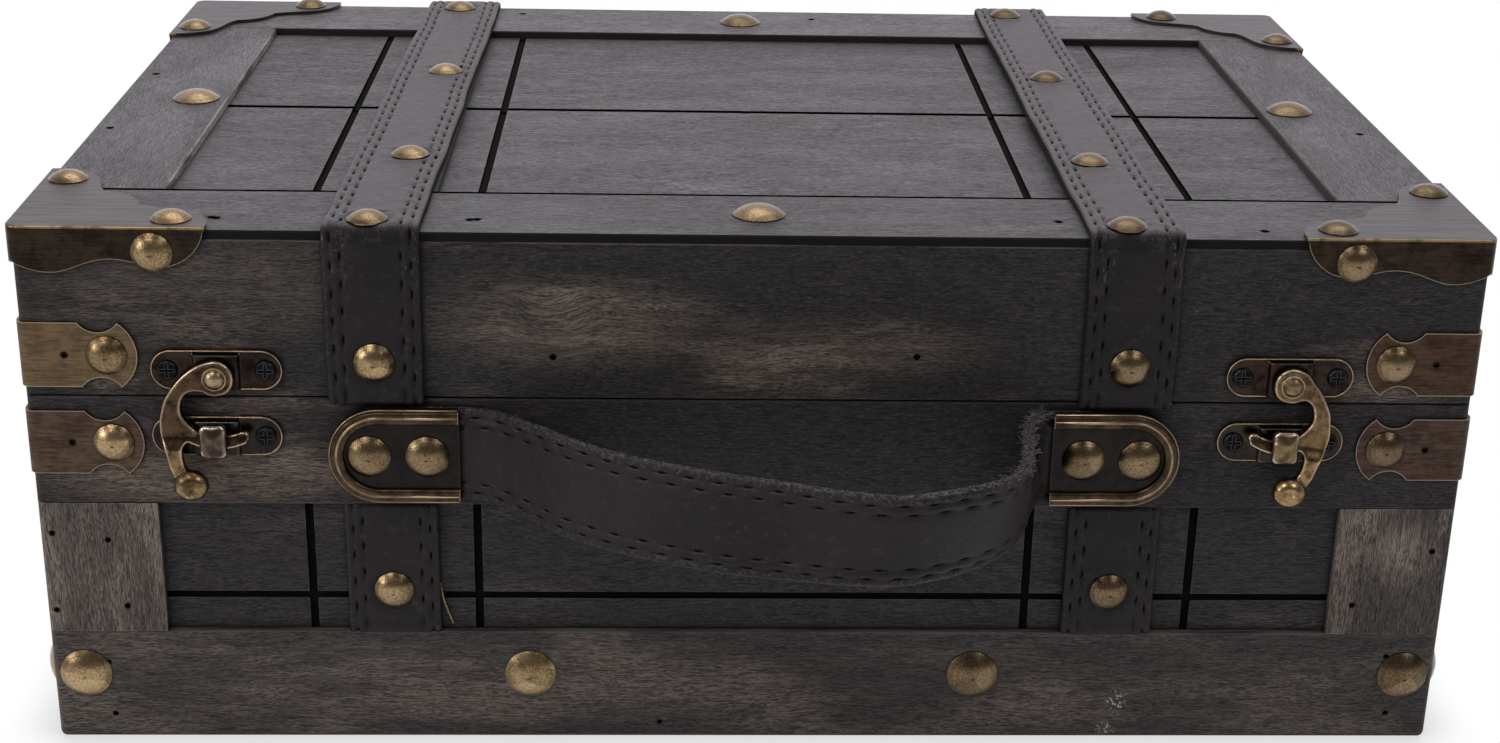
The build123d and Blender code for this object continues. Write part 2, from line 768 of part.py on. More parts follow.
# Latch arm: a C from the pivot ring to the finger, and a tail with a ball.
# Its points are shares of the finger's radius, measured from the pivot.
arm_outer_shares = ((-0.15, 0.236), (-0.304, 0.159), (-0.5, 0.0), (-0.659, -0.196), (-0.79, -0.46),
                    (-0.84, -0.74), (-0.82, -0.94), (-0.762, -1.12), (-0.725, -1.31), (-0.63, -1.6))
tail_inner_shares = ((-0.44, -1.5), (-0.515, -1.4), (-0.54, -1.28), (-0.55, -1.13))
arm_inner_shares = ((-0.406, -0.775), (-0.522, -0.609), (-0.545, -0.46), (-0.496, -0.297), (-0.38, -0.2),
                    (-0.2, -0.2), (-0.06, -0.235))
ball_share = (-0.409, -1.678)


def on_arm(share):
    return (share[0] * finger_radius, share[1] * finger_radius)


def on_finger(radius, angle):
    return (radius * sin(radians(angle)), -radius * cos(radians(angle)))


finger_in = finger_radius - finger_thickness / 2
finger_out = finger_radius + finger_thickness / 2
tip_angle = finger_end + degrees(finger_thickness / 2 / finger_radius)
arm_plane = Plane(pivot_place).offset(arm_back)

with BuildPart() as arm_profile:
    with BuildSketch(arm_plane):
        with BuildLine():
            outer_points = [on_arm(share) for share in arm_outer_shares]
            tail_points = [on_arm(share) for share in tail_inner_shares]
            inner_points = [on_arm(share) for share in arm_inner_shares]
            Spline(*outer_points)
            Line(outer_points[-1], tail_points[0])
            Spline(*tail_points, on_finger(finger_out, crotch_angle))
            ThreePointArc(on_finger(finger_out, crotch_angle), on_finger(finger_out, 0),
                          on_finger(finger_out, finger_end))
            ThreePointArc(on_finger(finger_out, finger_end), on_finger(finger_radius, tip_angle),
                          on_finger(finger_in, finger_end))
            ThreePointArc(on_finger(finger_in, finger_end), on_finger(finger_in, 0),
                          on_finger(finger_in, finger_start))
            Spline(on_finger(finger_in, finger_start), *inner_points)
            Line(inner_points[-1], outer_points[0])
        make_face()
    extrude(amount=arm_thickness + tail_step)

with BuildPart() as arm_low:
    with BuildSketch(arm_plane):
        Circle(arm_reach)
    extrude(amount=arm_thickness)
    add(arm_profile.part, mode=Mode.INTERSECT)
    with BuildSketch(arm_plane):
        Circle(arm_boss)
    extrude(amount=arm_thickness)

with BuildPart() as arm_tail:
    with BuildSketch(arm_plane.offset(tail_step)):
        Circle(2 * finger_radius)
        Circle(tail_root, mode=Mode.SUBTRACT)
        with Locations((on_finger(finger_out, crotch_angle)[0], -arm_reach)):
            Rectangle(2 * finger_radius, 2 * arm_reach, align=(Align.MIN, Align.MIN), mode=Mode.SUBTRACT)
    extrude(amount=arm_thickness)
    add(arm_profile.part, mode=Mode.INTERSECT)

with BuildPart() as tail_end:
    with Locations(arm_plane.location * Location((*on_arm(ball_share), tail_step + tail_ball_rise))):
        Sphere(tail_ball)
    with BuildSketch(arm_plane.offset(tail_step)):
        Circle(3 * finger_radius)
    extrude(amount=2 * tail_ball, mode=Mode.INTERSECT)

with BuildPart() as latch_arm:
    add(arm_low.part)
    add(arm_tail.part)
    add(tail_end.part)
    with Locations(pivot_place):
        Cylinder(rivet + pivot_clearance, 3 * arm_thickness + arm_back, mode=Mode.SUBTRACT)
save(latch_arm.part, "latch_arm_left")
right_pivot = Axis((latch_x, 0, pivot_z), (0, 1, 0))
save(mirror(latch_arm.part, about=Plane.YZ).rotate(right_pivot, -right_arm_turn), "latch_arm_right")

# Hinges on the back, with pins, and a fin on each leaf that stops the lid
segment = hinge_length / knuckle_count
stop_angle = lid_angle / 2 + stop_margin


def hinge_leaf_part(up, places):
    """One leaf of the left hinge: its plate, its knuckles and its stop, for the lid (up=1) or the base."""
    owned = [index for index in range(knuckle_count) if (index % 2 == 1) == (up > 0)]
    others = [index for index in range(knuckle_count) if index not in owned]
    start = -hinge_x - hinge_length / 2
    leaf_edge = (lid_bottom if up > 0 else base_height) + up * hinge_leaf
    with BuildPart() as leaf:
        with BuildSketch(back):
            with Locations((hinge_x, (axis_z + leaf_edge) / 2)):
                Rectangle(hinge_length, abs(leaf_edge - axis_z))
        extrude(amount=hinge_sheet)
        for index in others:
            with Locations((start + (index + 0.5) * segment, half_d, axis_z)):
                Box(segment + 2 * knuckle_play, 4 * hinge_sheet, 2 * (knuckle + hinge_clearance),
                    mode=Mode.SUBTRACT)
        for index in owned:
            with Locations(Location((start + (index + 0.5) * segment, axis_y, axis_z), (0, 90, 0))):
                Cylinder(knuckle, segment - 2 * knuckle_play)
                Cylinder(hinge_pin + pin_clearance, segment, mode=Mode.SUBTRACT)
        root = start + ((1 if up > 0 else 2) + 0.5) * segment
        beyond = start + ((2 if up > 0 else 1) + 0.5) * segment
        turn = Location((0, axis_y, axis_z), (up * stop_angle, 0, 0))
        side = Align.MIN if up > 0 else Align.MAX
        near = (hinge_pin + knuckle) / 2
        far = knuckle + stop_reach
        clear = knuckle + hinge_clearance
        with Locations(Location((root, 0, 0)) * turn * Location((0, near, 0))):
            Box(segment - 2 * knuckle_play, far - near, stop_thickness, align=(Align.CENTER, Align.MIN, side))
        with Locations(Location(((root + beyond) / 2, 0, 0)) * turn * Location((0, clear, 0))):
            Box(2 * segment - 2 * knuckle_play, far - clear, stop_thickness,
                align=(Align.CENTER, Align.MIN, side))
        drill_screws(places)
    return leaf.part


for label, up, places in (("lid", 1, hinge_lid_screws), ("base", -1, hinge_base_screws)):
    leaf = hinge_leaf_part(up, places)
    save(leaf, f"hinge_leaf_{label}_left")
    save(mirror(leaf, about=Plane.YZ), f"hinge_leaf_{label}_right")

with BuildPart() as hinge_pins:
    for end in ends:
        with Locations(Location((end * hinge_x, axis_y, axis_z), (0, 90, 0))):
            Cylinder(hinge_pin, hinge_length + pin_head_length)
        for side in ends:
            head_x = end * hinge_x + side * (hinge_length + pin_head_length) / 2
            with Locations(Location((head_x, axis_y, axis_z), (0, 90, 0))):
                Cylinder(pin_head, pin_head_length)
save(hinge_pins.part, "hinge_pins")
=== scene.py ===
import math
import random

import bmesh
import bpy
from mathutils import Matrix, Vector, noise


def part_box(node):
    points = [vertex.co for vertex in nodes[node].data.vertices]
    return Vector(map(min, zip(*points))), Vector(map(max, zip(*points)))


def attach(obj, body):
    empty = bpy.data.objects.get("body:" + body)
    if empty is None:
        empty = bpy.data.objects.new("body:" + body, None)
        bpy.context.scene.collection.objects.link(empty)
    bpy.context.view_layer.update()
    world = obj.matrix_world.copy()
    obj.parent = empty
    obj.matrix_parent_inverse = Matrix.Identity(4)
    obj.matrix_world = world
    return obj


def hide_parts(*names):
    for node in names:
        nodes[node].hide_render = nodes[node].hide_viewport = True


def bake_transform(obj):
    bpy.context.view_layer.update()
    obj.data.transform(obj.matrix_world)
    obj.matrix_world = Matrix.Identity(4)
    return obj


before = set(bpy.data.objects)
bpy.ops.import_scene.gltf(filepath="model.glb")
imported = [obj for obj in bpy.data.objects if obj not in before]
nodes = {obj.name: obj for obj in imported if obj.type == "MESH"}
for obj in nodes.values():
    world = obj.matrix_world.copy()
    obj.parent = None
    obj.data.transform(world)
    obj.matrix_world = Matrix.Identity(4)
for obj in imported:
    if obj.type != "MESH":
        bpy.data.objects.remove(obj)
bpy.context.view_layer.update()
MM = 0.001
SIDES = (("left", -1), ("right", 1))
random.seed(7)


def linked(name, data):
    made = bpy.data.objects.new(name, data)
    bpy.context.scene.collection.objects.link(made)
    return made


# Camera: the photograph's view, solved from the case's straight edges
IMAGE_W, IMAGE_H = 1500, 743
FOCAL_PX, SENSOR = 2351.9, 36
CENTRE_PX = (775.6, 384.6)
YAW, PITCH, ROLL = math.radians(2.632), math.radians(21.755), math.radians(-1.379)
EYE = Vector((-17.13, -552.38, 263.99)) * MM

ahead = Vector((math.sin(YAW) * math.cos(PITCH), math.cos(YAW) * math.cos(PITCH), -math.sin(PITCH)))
level = Vector((math.cos(YAW), -math.sin(YAW), 0))
down = ahead.cross(level)
aside = math.cos(ROLL) * level + math.sin(ROLL) * down
down = -math.sin(ROLL) * level + math.cos(ROLL) * down

lens = bpy.data.cameras.new("photo_camera")
lens.sensor_fit = "HORIZONTAL"
lens.sensor_width = SENSOR
lens.lens = FOCAL_PX / IMAGE_W * SENSOR
lens.shift_x = (IMAGE_W / 2 - CENTRE_PX[0]) / IMAGE_W
lens.shift_y = (CENTRE_PX[1] - IMAGE_H / 2) / IMAGE_W
lens.clip_start, lens.clip_end = 0.01, 20
camera = linked("photo_camera", lens)
camera.matrix_world = Matrix.Translation(EYE) @ Matrix((aside, -down, -ahead)).transposed().to_4x4()
bpy.context.scene.camera = camera

# Sizes read from the frame
plank_low, plank_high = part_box("lid_plank_front")
wall_y, half_w, seam_z = plank_low.y, plank_high.x, plank_low.z
back_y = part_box("lid_plank_back")[1].y
top_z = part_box("lid_frame_front")[1].z
strap_box = {side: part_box("lid_strap_" + side) for side, _ in SIDES}
rail_low_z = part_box("top_rail_front")[0].z
rail_high_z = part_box("bottom_rail_front")[1].z


class Shader:
    """A node material, or the nodes of the world, built from small steps. `color` is the colour so far."""

    def __init__(self, name, world=None):
        self.owner = world or bpy.data.materials.new(name)
        self.owner.use_nodes = True
        self.tree = self.owner.node_tree
        self.tree.nodes.clear()
        self.output = self.tree.nodes.new("ShaderNodeOutputWorld" if world else "ShaderNodeOutputMaterial")
        self.place = self.tree.nodes.new("ShaderNodeTexCoord").outputs["Generated" if world else "Object"]
        self.color = None

    def node(self, kind, values=None, **settings):
        made = self.tree.nodes.new(kind)
        for key, value in settings.items():
            setattr(made, key, value)
        for key, value in (values or {}).items():
            self.feed(made.inputs[key], value)
        return made

    def feed(self, socket, value):
        if isinstance(value, bpy.types.NodeSocket):
            self.tree.links.new(value, socket)
        elif isinstance(value, (tuple, list)) and len(value) == 3 and socket.type == "RGBA":
            socket.default_value = (*value, 1)
        else:
            socket.default_value = value

    def math(self, kind, a, *more):
        for b in more or (0.0,):
            a = self.node("ShaderNodeMath", {0: a, 1: b}, operation=kind).outputs[0]
        return a

    def times(self, a, *more):
        return self.math("MULTIPLY", a, *more) if more else a

    def plus(self, a, b):
        return self.math("ADD", a, b)

    def minus(self, a, b):
        return self.math("SUBTRACT", a, b)

    def most(self, a, *more):
        return self.math("MAXIMUM", a, *more)

    def weighed(self, a, b, share):
        return self.plus(self.times(a, share), self.times(b, 1 - share))

    def scaled(self, scale, shift=(0, 0, 0), place=None):
        """Places times a scale, which is one number or three."""
        made = self.node("ShaderNodeMapping", {"Vector": place or self.place})
        made.inputs["Scale"].default_value = scale if isinstance(scale, tuple) else (scale,) * 3
        made.inputs["Location"].default_value = shift
        return made.outputs[0]

    def moved(self, place, by):
        step = self.node("ShaderNodeCombineXYZ", dict(enumerate(by))).outputs[0]
        return self.node("ShaderNodeVectorMath", {0: place, 1: step}, operation="ADD").outputs[0]

    def noise(self, scale, detail, rough, shift=(0, 0, 0), place=None, warp=0.0):
        values = {"Vector": self.scaled(scale, shift, place), "Scale": 1.0, "Detail": detail, "Roughness": rough,
                  "Distortion": warp}
        return self.node("ShaderNodeTexNoise", values).outputs[0]

    def cells(self, scale, kind="F1", shift=(0, 0, 0)):
        values = {"Vector": self.scaled(scale, shift), "Scale": 1.0}
        made = self.node("ShaderNodeTexVoronoi", values, feature=kind)
        return made.outputs["Distance"], made.outputs.get("Color")

    def ramp(self, value, low, high, to_low=0.0, to_high=1.0):
        values = {"Value": value, "From Min": low, "From Max": high, "To Min": to_low, "To Max": to_high}
        return self.node("ShaderNodeMapRange", values, interpolation_type="SMOOTHSTEP").outputs[0]

    def mix(self, share, a, b, kind="MIX"):
        made = self.node("ShaderNodeMix", data_type="RGBA", blend_type=kind, clamp_factor=True)
        for socket, value in ((0, share), (6, a), (7, b)):
            self.feed(made.inputs[socket], value)
        return made.outputs[2]

    def coat(self, tint, *shares):
        """Covers the colour so far with a tint, by the product of the shares."""
        self.color = self.mix(self.times(*shares), self.color, tint)

    def shade(self, factor):
        self.color = self.mix(1.0, self.color, factor, "MULTIPLY")

    def split(self, vector):
        return self.node("ShaderNodeSeparateXYZ", {0: vector}).outputs[0:3]

    def facing(self):
        return self.split(self.node("ShaderNodeNewGeometry").outputs["True Normal"])

    def edges(self, radius, low, high):
        """1 on sharp edges within the radius, 0 on flat ground."""
        soft = self.node("ShaderNodeBevel", {"Radius": radius}, samples=6).outputs[0]
        hard = self.node("ShaderNodeNewGeometry").outputs["True Normal"]
        dot = self.node("ShaderNodeVectorMath", {0: soft, 1: hard}, operation="DOT_PRODUCT").outputs["Value"]
        return self.ramp(self.minus(1.0, dot), low, high)

    def closeness(self, distance):
        """1 in corners and beside other pieces, 0 in the open."""
        near = self.node("ShaderNodeAmbientOcclusion", {"Distance": distance}, samples=6)
        return self.minus(1.0, near.outputs["AO"])

    def spot(self, centre, radius, soft):
        """1 within the radius of a place, 0 outside."""
        values = {0: self.place, 1: centre}
        far = self.node("ShaderNodeVectorMath", values, operation="DISTANCE").outputs["Value"]
        return self.ramp(far, radius * (1 - soft), radius * (1 + soft), 1.0, 0.0)

    def patch(self, centre, size):
        """1 at a place, 0 outside the lengths of `size` round it, along x, y and z."""
        flat = self.scaled(tuple(1 / v for v in size), tuple(-c / v for c, v in zip(centre, size)))
        far = self.node("ShaderNodeVectorMath", {0: flat}, operation="LENGTH").outputs["Value"]
        return self.ramp(far, 0.25, 1.0, 1.0, 0.0)

    def band(self, value, low, high, soft):
        """1 where a value lies between two limits."""
        return self.times(self.ramp(value, low, low + soft), self.ramp(value, high, high + soft, 1.0, 0.0))

    def rubbed_and_highlit(self):
        """1 on the outward curves of a finely meshed form, for worn bright metal and a painted highlight."""
        return self.ramp(self.node("ShaderNodeNewGeometry").outputs["Pointiness"], 0.504, 0.53)

    def specks(self, size, share=0.12, radius=0.02):
        """Sparse small dots: `size` is the mean distance between places for them."""
        far, tint = self.cells(1 / size)
        lucky = self.ramp(self.split(tint)[0], 1 - share, 1 - share + 0.01)
        return self.times(self.ramp(far, radius * 0.5, radius, 1.0, 0.0), lucky)

    def surface(self, values, height, depth):
        bump = self.node("ShaderNodeBump", {"Height": height, "Strength": 1.0, "Distance": depth})
        return self.node("ShaderNodeBsdfPrincipled", {**values, "Normal": bump.outputs[0]})

    def layered(self, share, first, second):
        """The whole material: the second shader over the first one."""
        both = self.node("ShaderNodeMixShader", {0: share, 1: first.outputs[0], 2: second.outputs[0]})
        self.feed(self.output.inputs["Surface"], both.outputs[0])
        return self.owner

    def finish(self, rough, metal, height, depth, specular=0.5, matte=0.0):
        """`matte` is 1 where the surface has no gloss at all."""
        values = {"Base Color": self.color, "Roughness": rough, "Metallic": metal, "Specular IOR Level": specular}
        shader = self.surface(values, height, depth)
        if matte:
            self.feed(shader.inputs["Specular IOR Level"], self.ramp(matte, 0.0, 1.0, specular, 0.0))
        self.feed(self.output.inputs["Surface"], shader.outputs[0])
        return self.owner


def dress(node, material):
    mesh = nodes[node].data
    mesh.materials.clear()
    mesh.materials.append(material)


def lighter(color, gain):
    return tuple(c * gain for c in color)


# Stained wood. The stain is worn through in soft cloudy patches, over fine wavy fibres along the grain.
# Each size is along and across the grain.
CLOUD, STREAK, WAVE = (46 * MM, 15 * MM), (22 * MM, 2.6 * MM), (34 * MM, 12 * MM)
FIBRE, GRIT = (4.6 * MM, 0.26 * MM), (1.3 * MM, 0.17 * MM)
WAVE_HEIGHT = 5 * MM
PITCH_BLACK, WORN_LINE, PALE_LINE = (0.0015,) * 3, (0.085, 0.077, 0.072), (0.3, 0.28, 0.265)
BOARD_GROOVE, PANEL_GROOVE = (0.0065, 0.0057, 0.0057), (0.0125, 0.0108, 0.0112)
# Near black: dirt in holes, and painted shade in corners and beside other pieces
GRIME_AND_SHADE = (0.002,) * 3


def wood(
    node, axis, seed, stain, amount, rough=0.55, edge=0.4, holes=(), knots=(), chips=(), patches=(), bump=0.13,
    specular=0.22, contrast=1.0, lines=(), lines_above=None, painted=None, flecks=0.2, gain=1.0,
):
    """Dresses a node. `stain` is its dark and its worn colour; `patches` are places, sizes and shares of more or
    less wear, which also paint light and shade across the front; `lines` are an axis, two limits and the colour
    between them; `painted` is a painted shade: the darker colour of all but the upper face."""
    s = Shader("wood_" + node)
    dark, worn = (lighter(color, gain) for color in stain)
    shift = (seed * 1.71, seed * 2.33, seed * 3.17)
    place = s.place

    def grain(size, detail, harsh):
        along, across = size
        scale = tuple(1 / along if letter == axis else 1 / across for letter in "XYZ")
        return s.noise(scale, detail, harsh, shift, place)

    for centre, radius in knots:
        place = s.moved(place, (0.0, 0.0, s.times(s.spot(centre, radius, 0.95), radius * 0.5)))
    cloud = grain(CLOUD, 4, 0.55)
    wave = s.times(s.plus(grain(WAVE, 2, 0.5), -0.5), WAVE_HEIGHT)
    place = s.moved(place, [0.0 if letter == axis else wave for letter in "XYZ"])
    streak, fibre, grit = grain(STREAK, 4, 0.6), grain(FIBRE, 3, 0.62), grain(GRIT, 2, 0.6)
    wear = s.ramp(s.weighed(streak, cloud, 0.26), 0.62 - 0.3 * amount, 0.84 - 0.3 * amount)
    # Wear in patches, which also paints light and shade across the front
    for centre, size, more in patches:
        wear = s.plus(wear, s.times(s.patch(centre, size), s.ramp(streak, 0.25, 0.6, 0.5, 1.1), more))
    wear = s.math("MINIMUM", s.most(wear, 0.0), 1.0)
    for centre, radius in knots:
        wear = s.most(wear, s.times(s.spot(centre, radius, 0.9), s.ramp(streak, 0.3, 0.6, 0.35, 1.0)))
    s.color = s.mix(wear, dark, worn)
    tone = s.ramp(s.weighed(fibre, grit, 0.55), 0.38, 0.62, 1 - 0.68 * contrast, 1 + 0.85 * contrast)
    s.shade(tone)
    # Short light fibres, also where the stain is dark
    s.coat(tuple(c * 1.3 + 0.055 for c in worn), s.ramp(grit, 0.58, 0.72), s.ramp(wear, 0.0, 1.0, flecks, 0.5))
    s.coat(tuple(c * 2.2 + 0.03 for c in worn), s.edges(0.5 * MM, 0.02, 0.2), s.ramp(streak, 0.4, 0.6, 0.1, 1.0), edge)
    # Painted shade in corners and beside other pieces
    s.coat(GRIME_AND_SHADE, s.ramp(s.closeness(1.3 * MM), 0.12, 0.55), 0.85)
    rough = s.plus(s.ramp(tone, 0.5, 1.5, rough + 0.1, rough - 0.04), s.ramp(cloud, 0.35, 0.65, -0.05, 0.11))
    # Painted shade: the faces that don't look up take a darker colour
    if painted is not None:
        upward = s.ramp(s.facing()[2], 0.9, 0.99)
        s.color = s.mix(upward, painted, s.color)
        rough = s.plus(s.times(rough, upward), s.ramp(upward, 0.0, 1.0, 1.0, 0.0))
    ragged = s.times(s.plus(grit, -0.5), 0.5 * MM)
    matte = pit = 0.0
    for which, low, high, tint in lines:
        here = s.band(s.plus(s.split(s.place)[which], ragged), low, high, 0.1 * MM)
        if lines_above is not None:
            here = s.times(here, s.ramp(s.split(s.place)[2], lines_above, lines_above + 0.1 * MM))
        if tint in (WORN_LINE, PALE_LINE):
            here = s.times(here, s.ramp(streak, 0.38, 0.56, 0.15, 0.9))
        matte = s.most(matte, here)
        s.coat(tint, here)
    for centre, radius in holes:
        pit = s.most(pit, s.spot(centre, radius, 0.35))
    height = s.weighed(fibre, grit, 0.6)
    if pit:
        matte = s.most(matte, pit)
        s.coat(GRIME_AND_SHADE, pit)
        height = s.minus(height, s.times(pit, 2.0))
    for centre, size in chips:
        flake = s.ramp(s.noise((1100, 1100, 800), 4, 0.75), 0.555, 0.585)
        s.coat((0.42, 0.4, 0.36), flake, s.patch(centre, size), 0.85)
    s.coat((0.3,) * 3, s.specks(9 * MM), 0.6)
    dress(node, s.finish(rough, 0.0, height, bump * MM, specular, matte))


HOLE = 0.75 * MM
GROOVE_LOW, GROOVE_HIGH = 0.12 * MM, 1.2 * MM
PATCH_DEPTH = 8
BLACK_WOOD = ((0.0115, 0.0101, 0.0103), (0.074, 0.058, 0.048))
DARK_WOOD = ((0.0145, 0.0128, 0.0132), (0.037, 0.033, 0.032))
# The top of the lid is lighter than its front: dust, and a painted sheen
TOP_WOOD_WITH_SHEEN = ((0.025, 0.0222, 0.0258), (0.068, 0.0595, 0.0635))
PALE_WOOD = ((0.036, 0.030, 0.027), (0.135, 0.11, 0.094))
RAIL_WOOD = ((0.0215, 0.0186, 0.0178), (0.072, 0.059, 0.052))
TOP_LOOK = {"rough": 0.44, "specular": 0.27, "bump": 0.24, "contrast": 1.2, "edge": 0.55, "flecks": 0.1}
SIDE_LOOK = {**TOP_LOOK, "contrast": 0.8, "bump": 0.18}


def at(x, y, z):
    return tuple(v * MM for v in (x, y, z))


def front(x, z):
    return x * MM, wall_y, z * MM


def front_holes(share, *places):
    return [(front(x, z), share * HOLE) for x, z in places]


def front_patches(*rows):
    """Each row is x and z, a length and a height, and how much more the wood is worn there, which also paints light
    and shade across the front.
    """
    return [(front(x, z), at(long, PATCH_DEPTH, high), more) for x, z, long, high, more in rows]


top_holes = [((x * MM, y * MM, top_z), 1.3 * HOLE) for x, y in (
    (-110.4, -93.0), (-111.4, -92.6), (-59.2, -92.6), (-57.8, -92.3), (62.0, -90.0), (104.0, -95.0),
    (-146.4, -26.9), (-146.2, 22.6), (144.0, -20.0), (20.0, 92.0), (-60.0, 94.0))]
# The panel's grooves are black, with black beside them
panel_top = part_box("lid_panel")[1].z
panel_grooves = [(2, panel_top - GROOVE_HIGH, panel_top - GROOVE_LOW, PANEL_GROOVE)]
panel_grooves += [(0, (x - 0.75) * MM, (x + 0.75) * MM, PANEL_GROOVE) for x in (-93.9, -58.7, 58.7, 93.9)]
panel_grooves += [(1, -1.1 * MM, 1.1 * MM, PITCH_BLACK)]
frame_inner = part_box("lid_frame_front")[1].y
side_inner = half_w - 25.3 * MM

for node, axis, seed, stain, amount, more in (
    ("lid_plank_front", "X", 1, BLACK_WOOD, 0.45, {
        "holes": front_holes(1, (-42.2, 89.4), (32.7, 90.0)), "knots": [(front(-42.7, 96.4), 6 * MM)],
        "patches": front_patches(
            (-112, 104, 42, 16, 0.4), (-38, 97, 40, 13, 0.75), (22, 92, 34, 9, 0.55), (108, 98, 46, 24, -0.7),
            (-10, 112, 80, 6, -0.6), (-112, 86, 44, 7, -0.3)),
        "lines": [(2, plank_high.z - 0.45 * MM, plank_high.z, WORN_LINE)]}),
    ("lid_plank_back", "X", 2, BLACK_WOOD, 0.5, {}),
    ("lid_plank_left", "Y", 3, BLACK_WOOD, 0.45, {}),
    ("lid_plank_right", "Y", 4, BLACK_WOOD, 0.45, {}),
    ("bottom_rail_front", "X", 9, RAIL_WOOD, 0.7, {
        "edge": 0.6, "patches": front_patches((-75, 14, 90, 14, 0.4), (100, 10, 50, 14, 0.15)),
        "holes": front_holes(0.8, (-138.1, 18.5), (-137.6, 6.0), (140.5, 6.4), (139.0, 20.5), (-20.0, 4.0)),
        "lines": [(2, rail_high_z - 0.3 * MM, rail_high_z, WORN_LINE)],
        "chips": [(front(80.2, 9.4), at(3.2, 6, 4.6)), (front(78.2, 2.6), at(3.2, 6, 2.4))]}),
    ("bottom_rail_back", "X", 10, BLACK_WOOD, 0.7, {}),
    ("top_rail_front", "X", 11, BLACK_WOOD, 0.42, {
        "patches": front_patches((-116, 62, 46, 9, 0.85), (20, 68, 86, 22, -0.8), (120, 66, 44, 20, -0.6)),
        "lines": [(2, rail_low_z, rail_low_z + 0.3 * MM, WORN_LINE)]}),
    ("top_rail_back", "X", 12, BLACK_WOOD, 0.5, {}),
    ("side_rails", "Y", 15, BLACK_WOOD, 0.55, {}),
    ("corner_stiles", "Z", 16, PALE_WOOD, 0.55, {
        "holes": front_holes(0.9, (-147.4, 49.0), (-135.9, 47.5), (-148.0, 31.0), (-133.0, 32.0), (146.0, 46.0),
                             (130.0, 33.0)),
        "knots": [(front(139.0, 46), 6 * MM)],
        "patches": front_patches((-140, 40, 16, 30, 0.3), (136, 34, 22, 30, -0.55))}),
    ("base_floor", "X", 17, BLACK_WOOD, 0.3, {}),
    ("lid_panel", "X", 18, TOP_WOOD_WITH_SHEEN, 0.35, {
        "gain": 1.3, "lines": panel_grooves, "lines_above": panel_top - 2 * MM, **TOP_LOOK}),
    ("lid_frame_front", "X", 19, TOP_WOOD_WITH_SHEEN, 0.45, {
        "gain": 0.97, "painted": (0.0025, 0.002, 0.002), "holes": top_holes,
        "lines": [(1, frame_inner - 1.5 * MM, frame_inner, PITCH_BLACK)], **TOP_LOOK}),
    ("lid_frame_back", "X", 20, TOP_WOOD_WITH_SHEEN, 0.45, {
        "gain": 1.7, "painted": (0.012, 0.01, 0.01), "holes": top_holes, **TOP_LOOK}),
    ("lid_frame_sides", "Y", 21, TOP_WOOD_WITH_SHEEN, 0.45, {
        "gain": 1.1, "painted": (0.03, 0.026, 0.028), "holes": top_holes,
        "lines": [(0, -side_inner - 0.35 * MM, -side_inner, PALE_LINE),
                  (0, side_inner, side_inner + 0.4 * MM, WORN_LINE)], **SIDE_LOOK}),
    ("strap_battens", "Y", 22, BLACK_WOOD, 0.3, {}),
):
    wood(node, axis, seed, stain, amount, **more)
for seed, (wall, which, far) in enumerate((("front", 1, 0), ("back", 1, 1), ("left", 0, 0), ("right", 0, 1)), 5):
    node = "base_board_" + wall
    face_at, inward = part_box(node)[far][which], 1 - 2 * far
    limits = sorted(face_at + inward * depth for depth in (GROOVE_LOW, GROOVE_HIGH))
    wood(node, "XY"[1 - which], seed, DARK_WOOD, 0.4, lines=[(which, *limits, BOARD_GROOVE)])


# Leather: smooth dark faces with a fine grain, cracked where it bends, and raw edges
STRAP_MIDDLE = 77.4 * MM


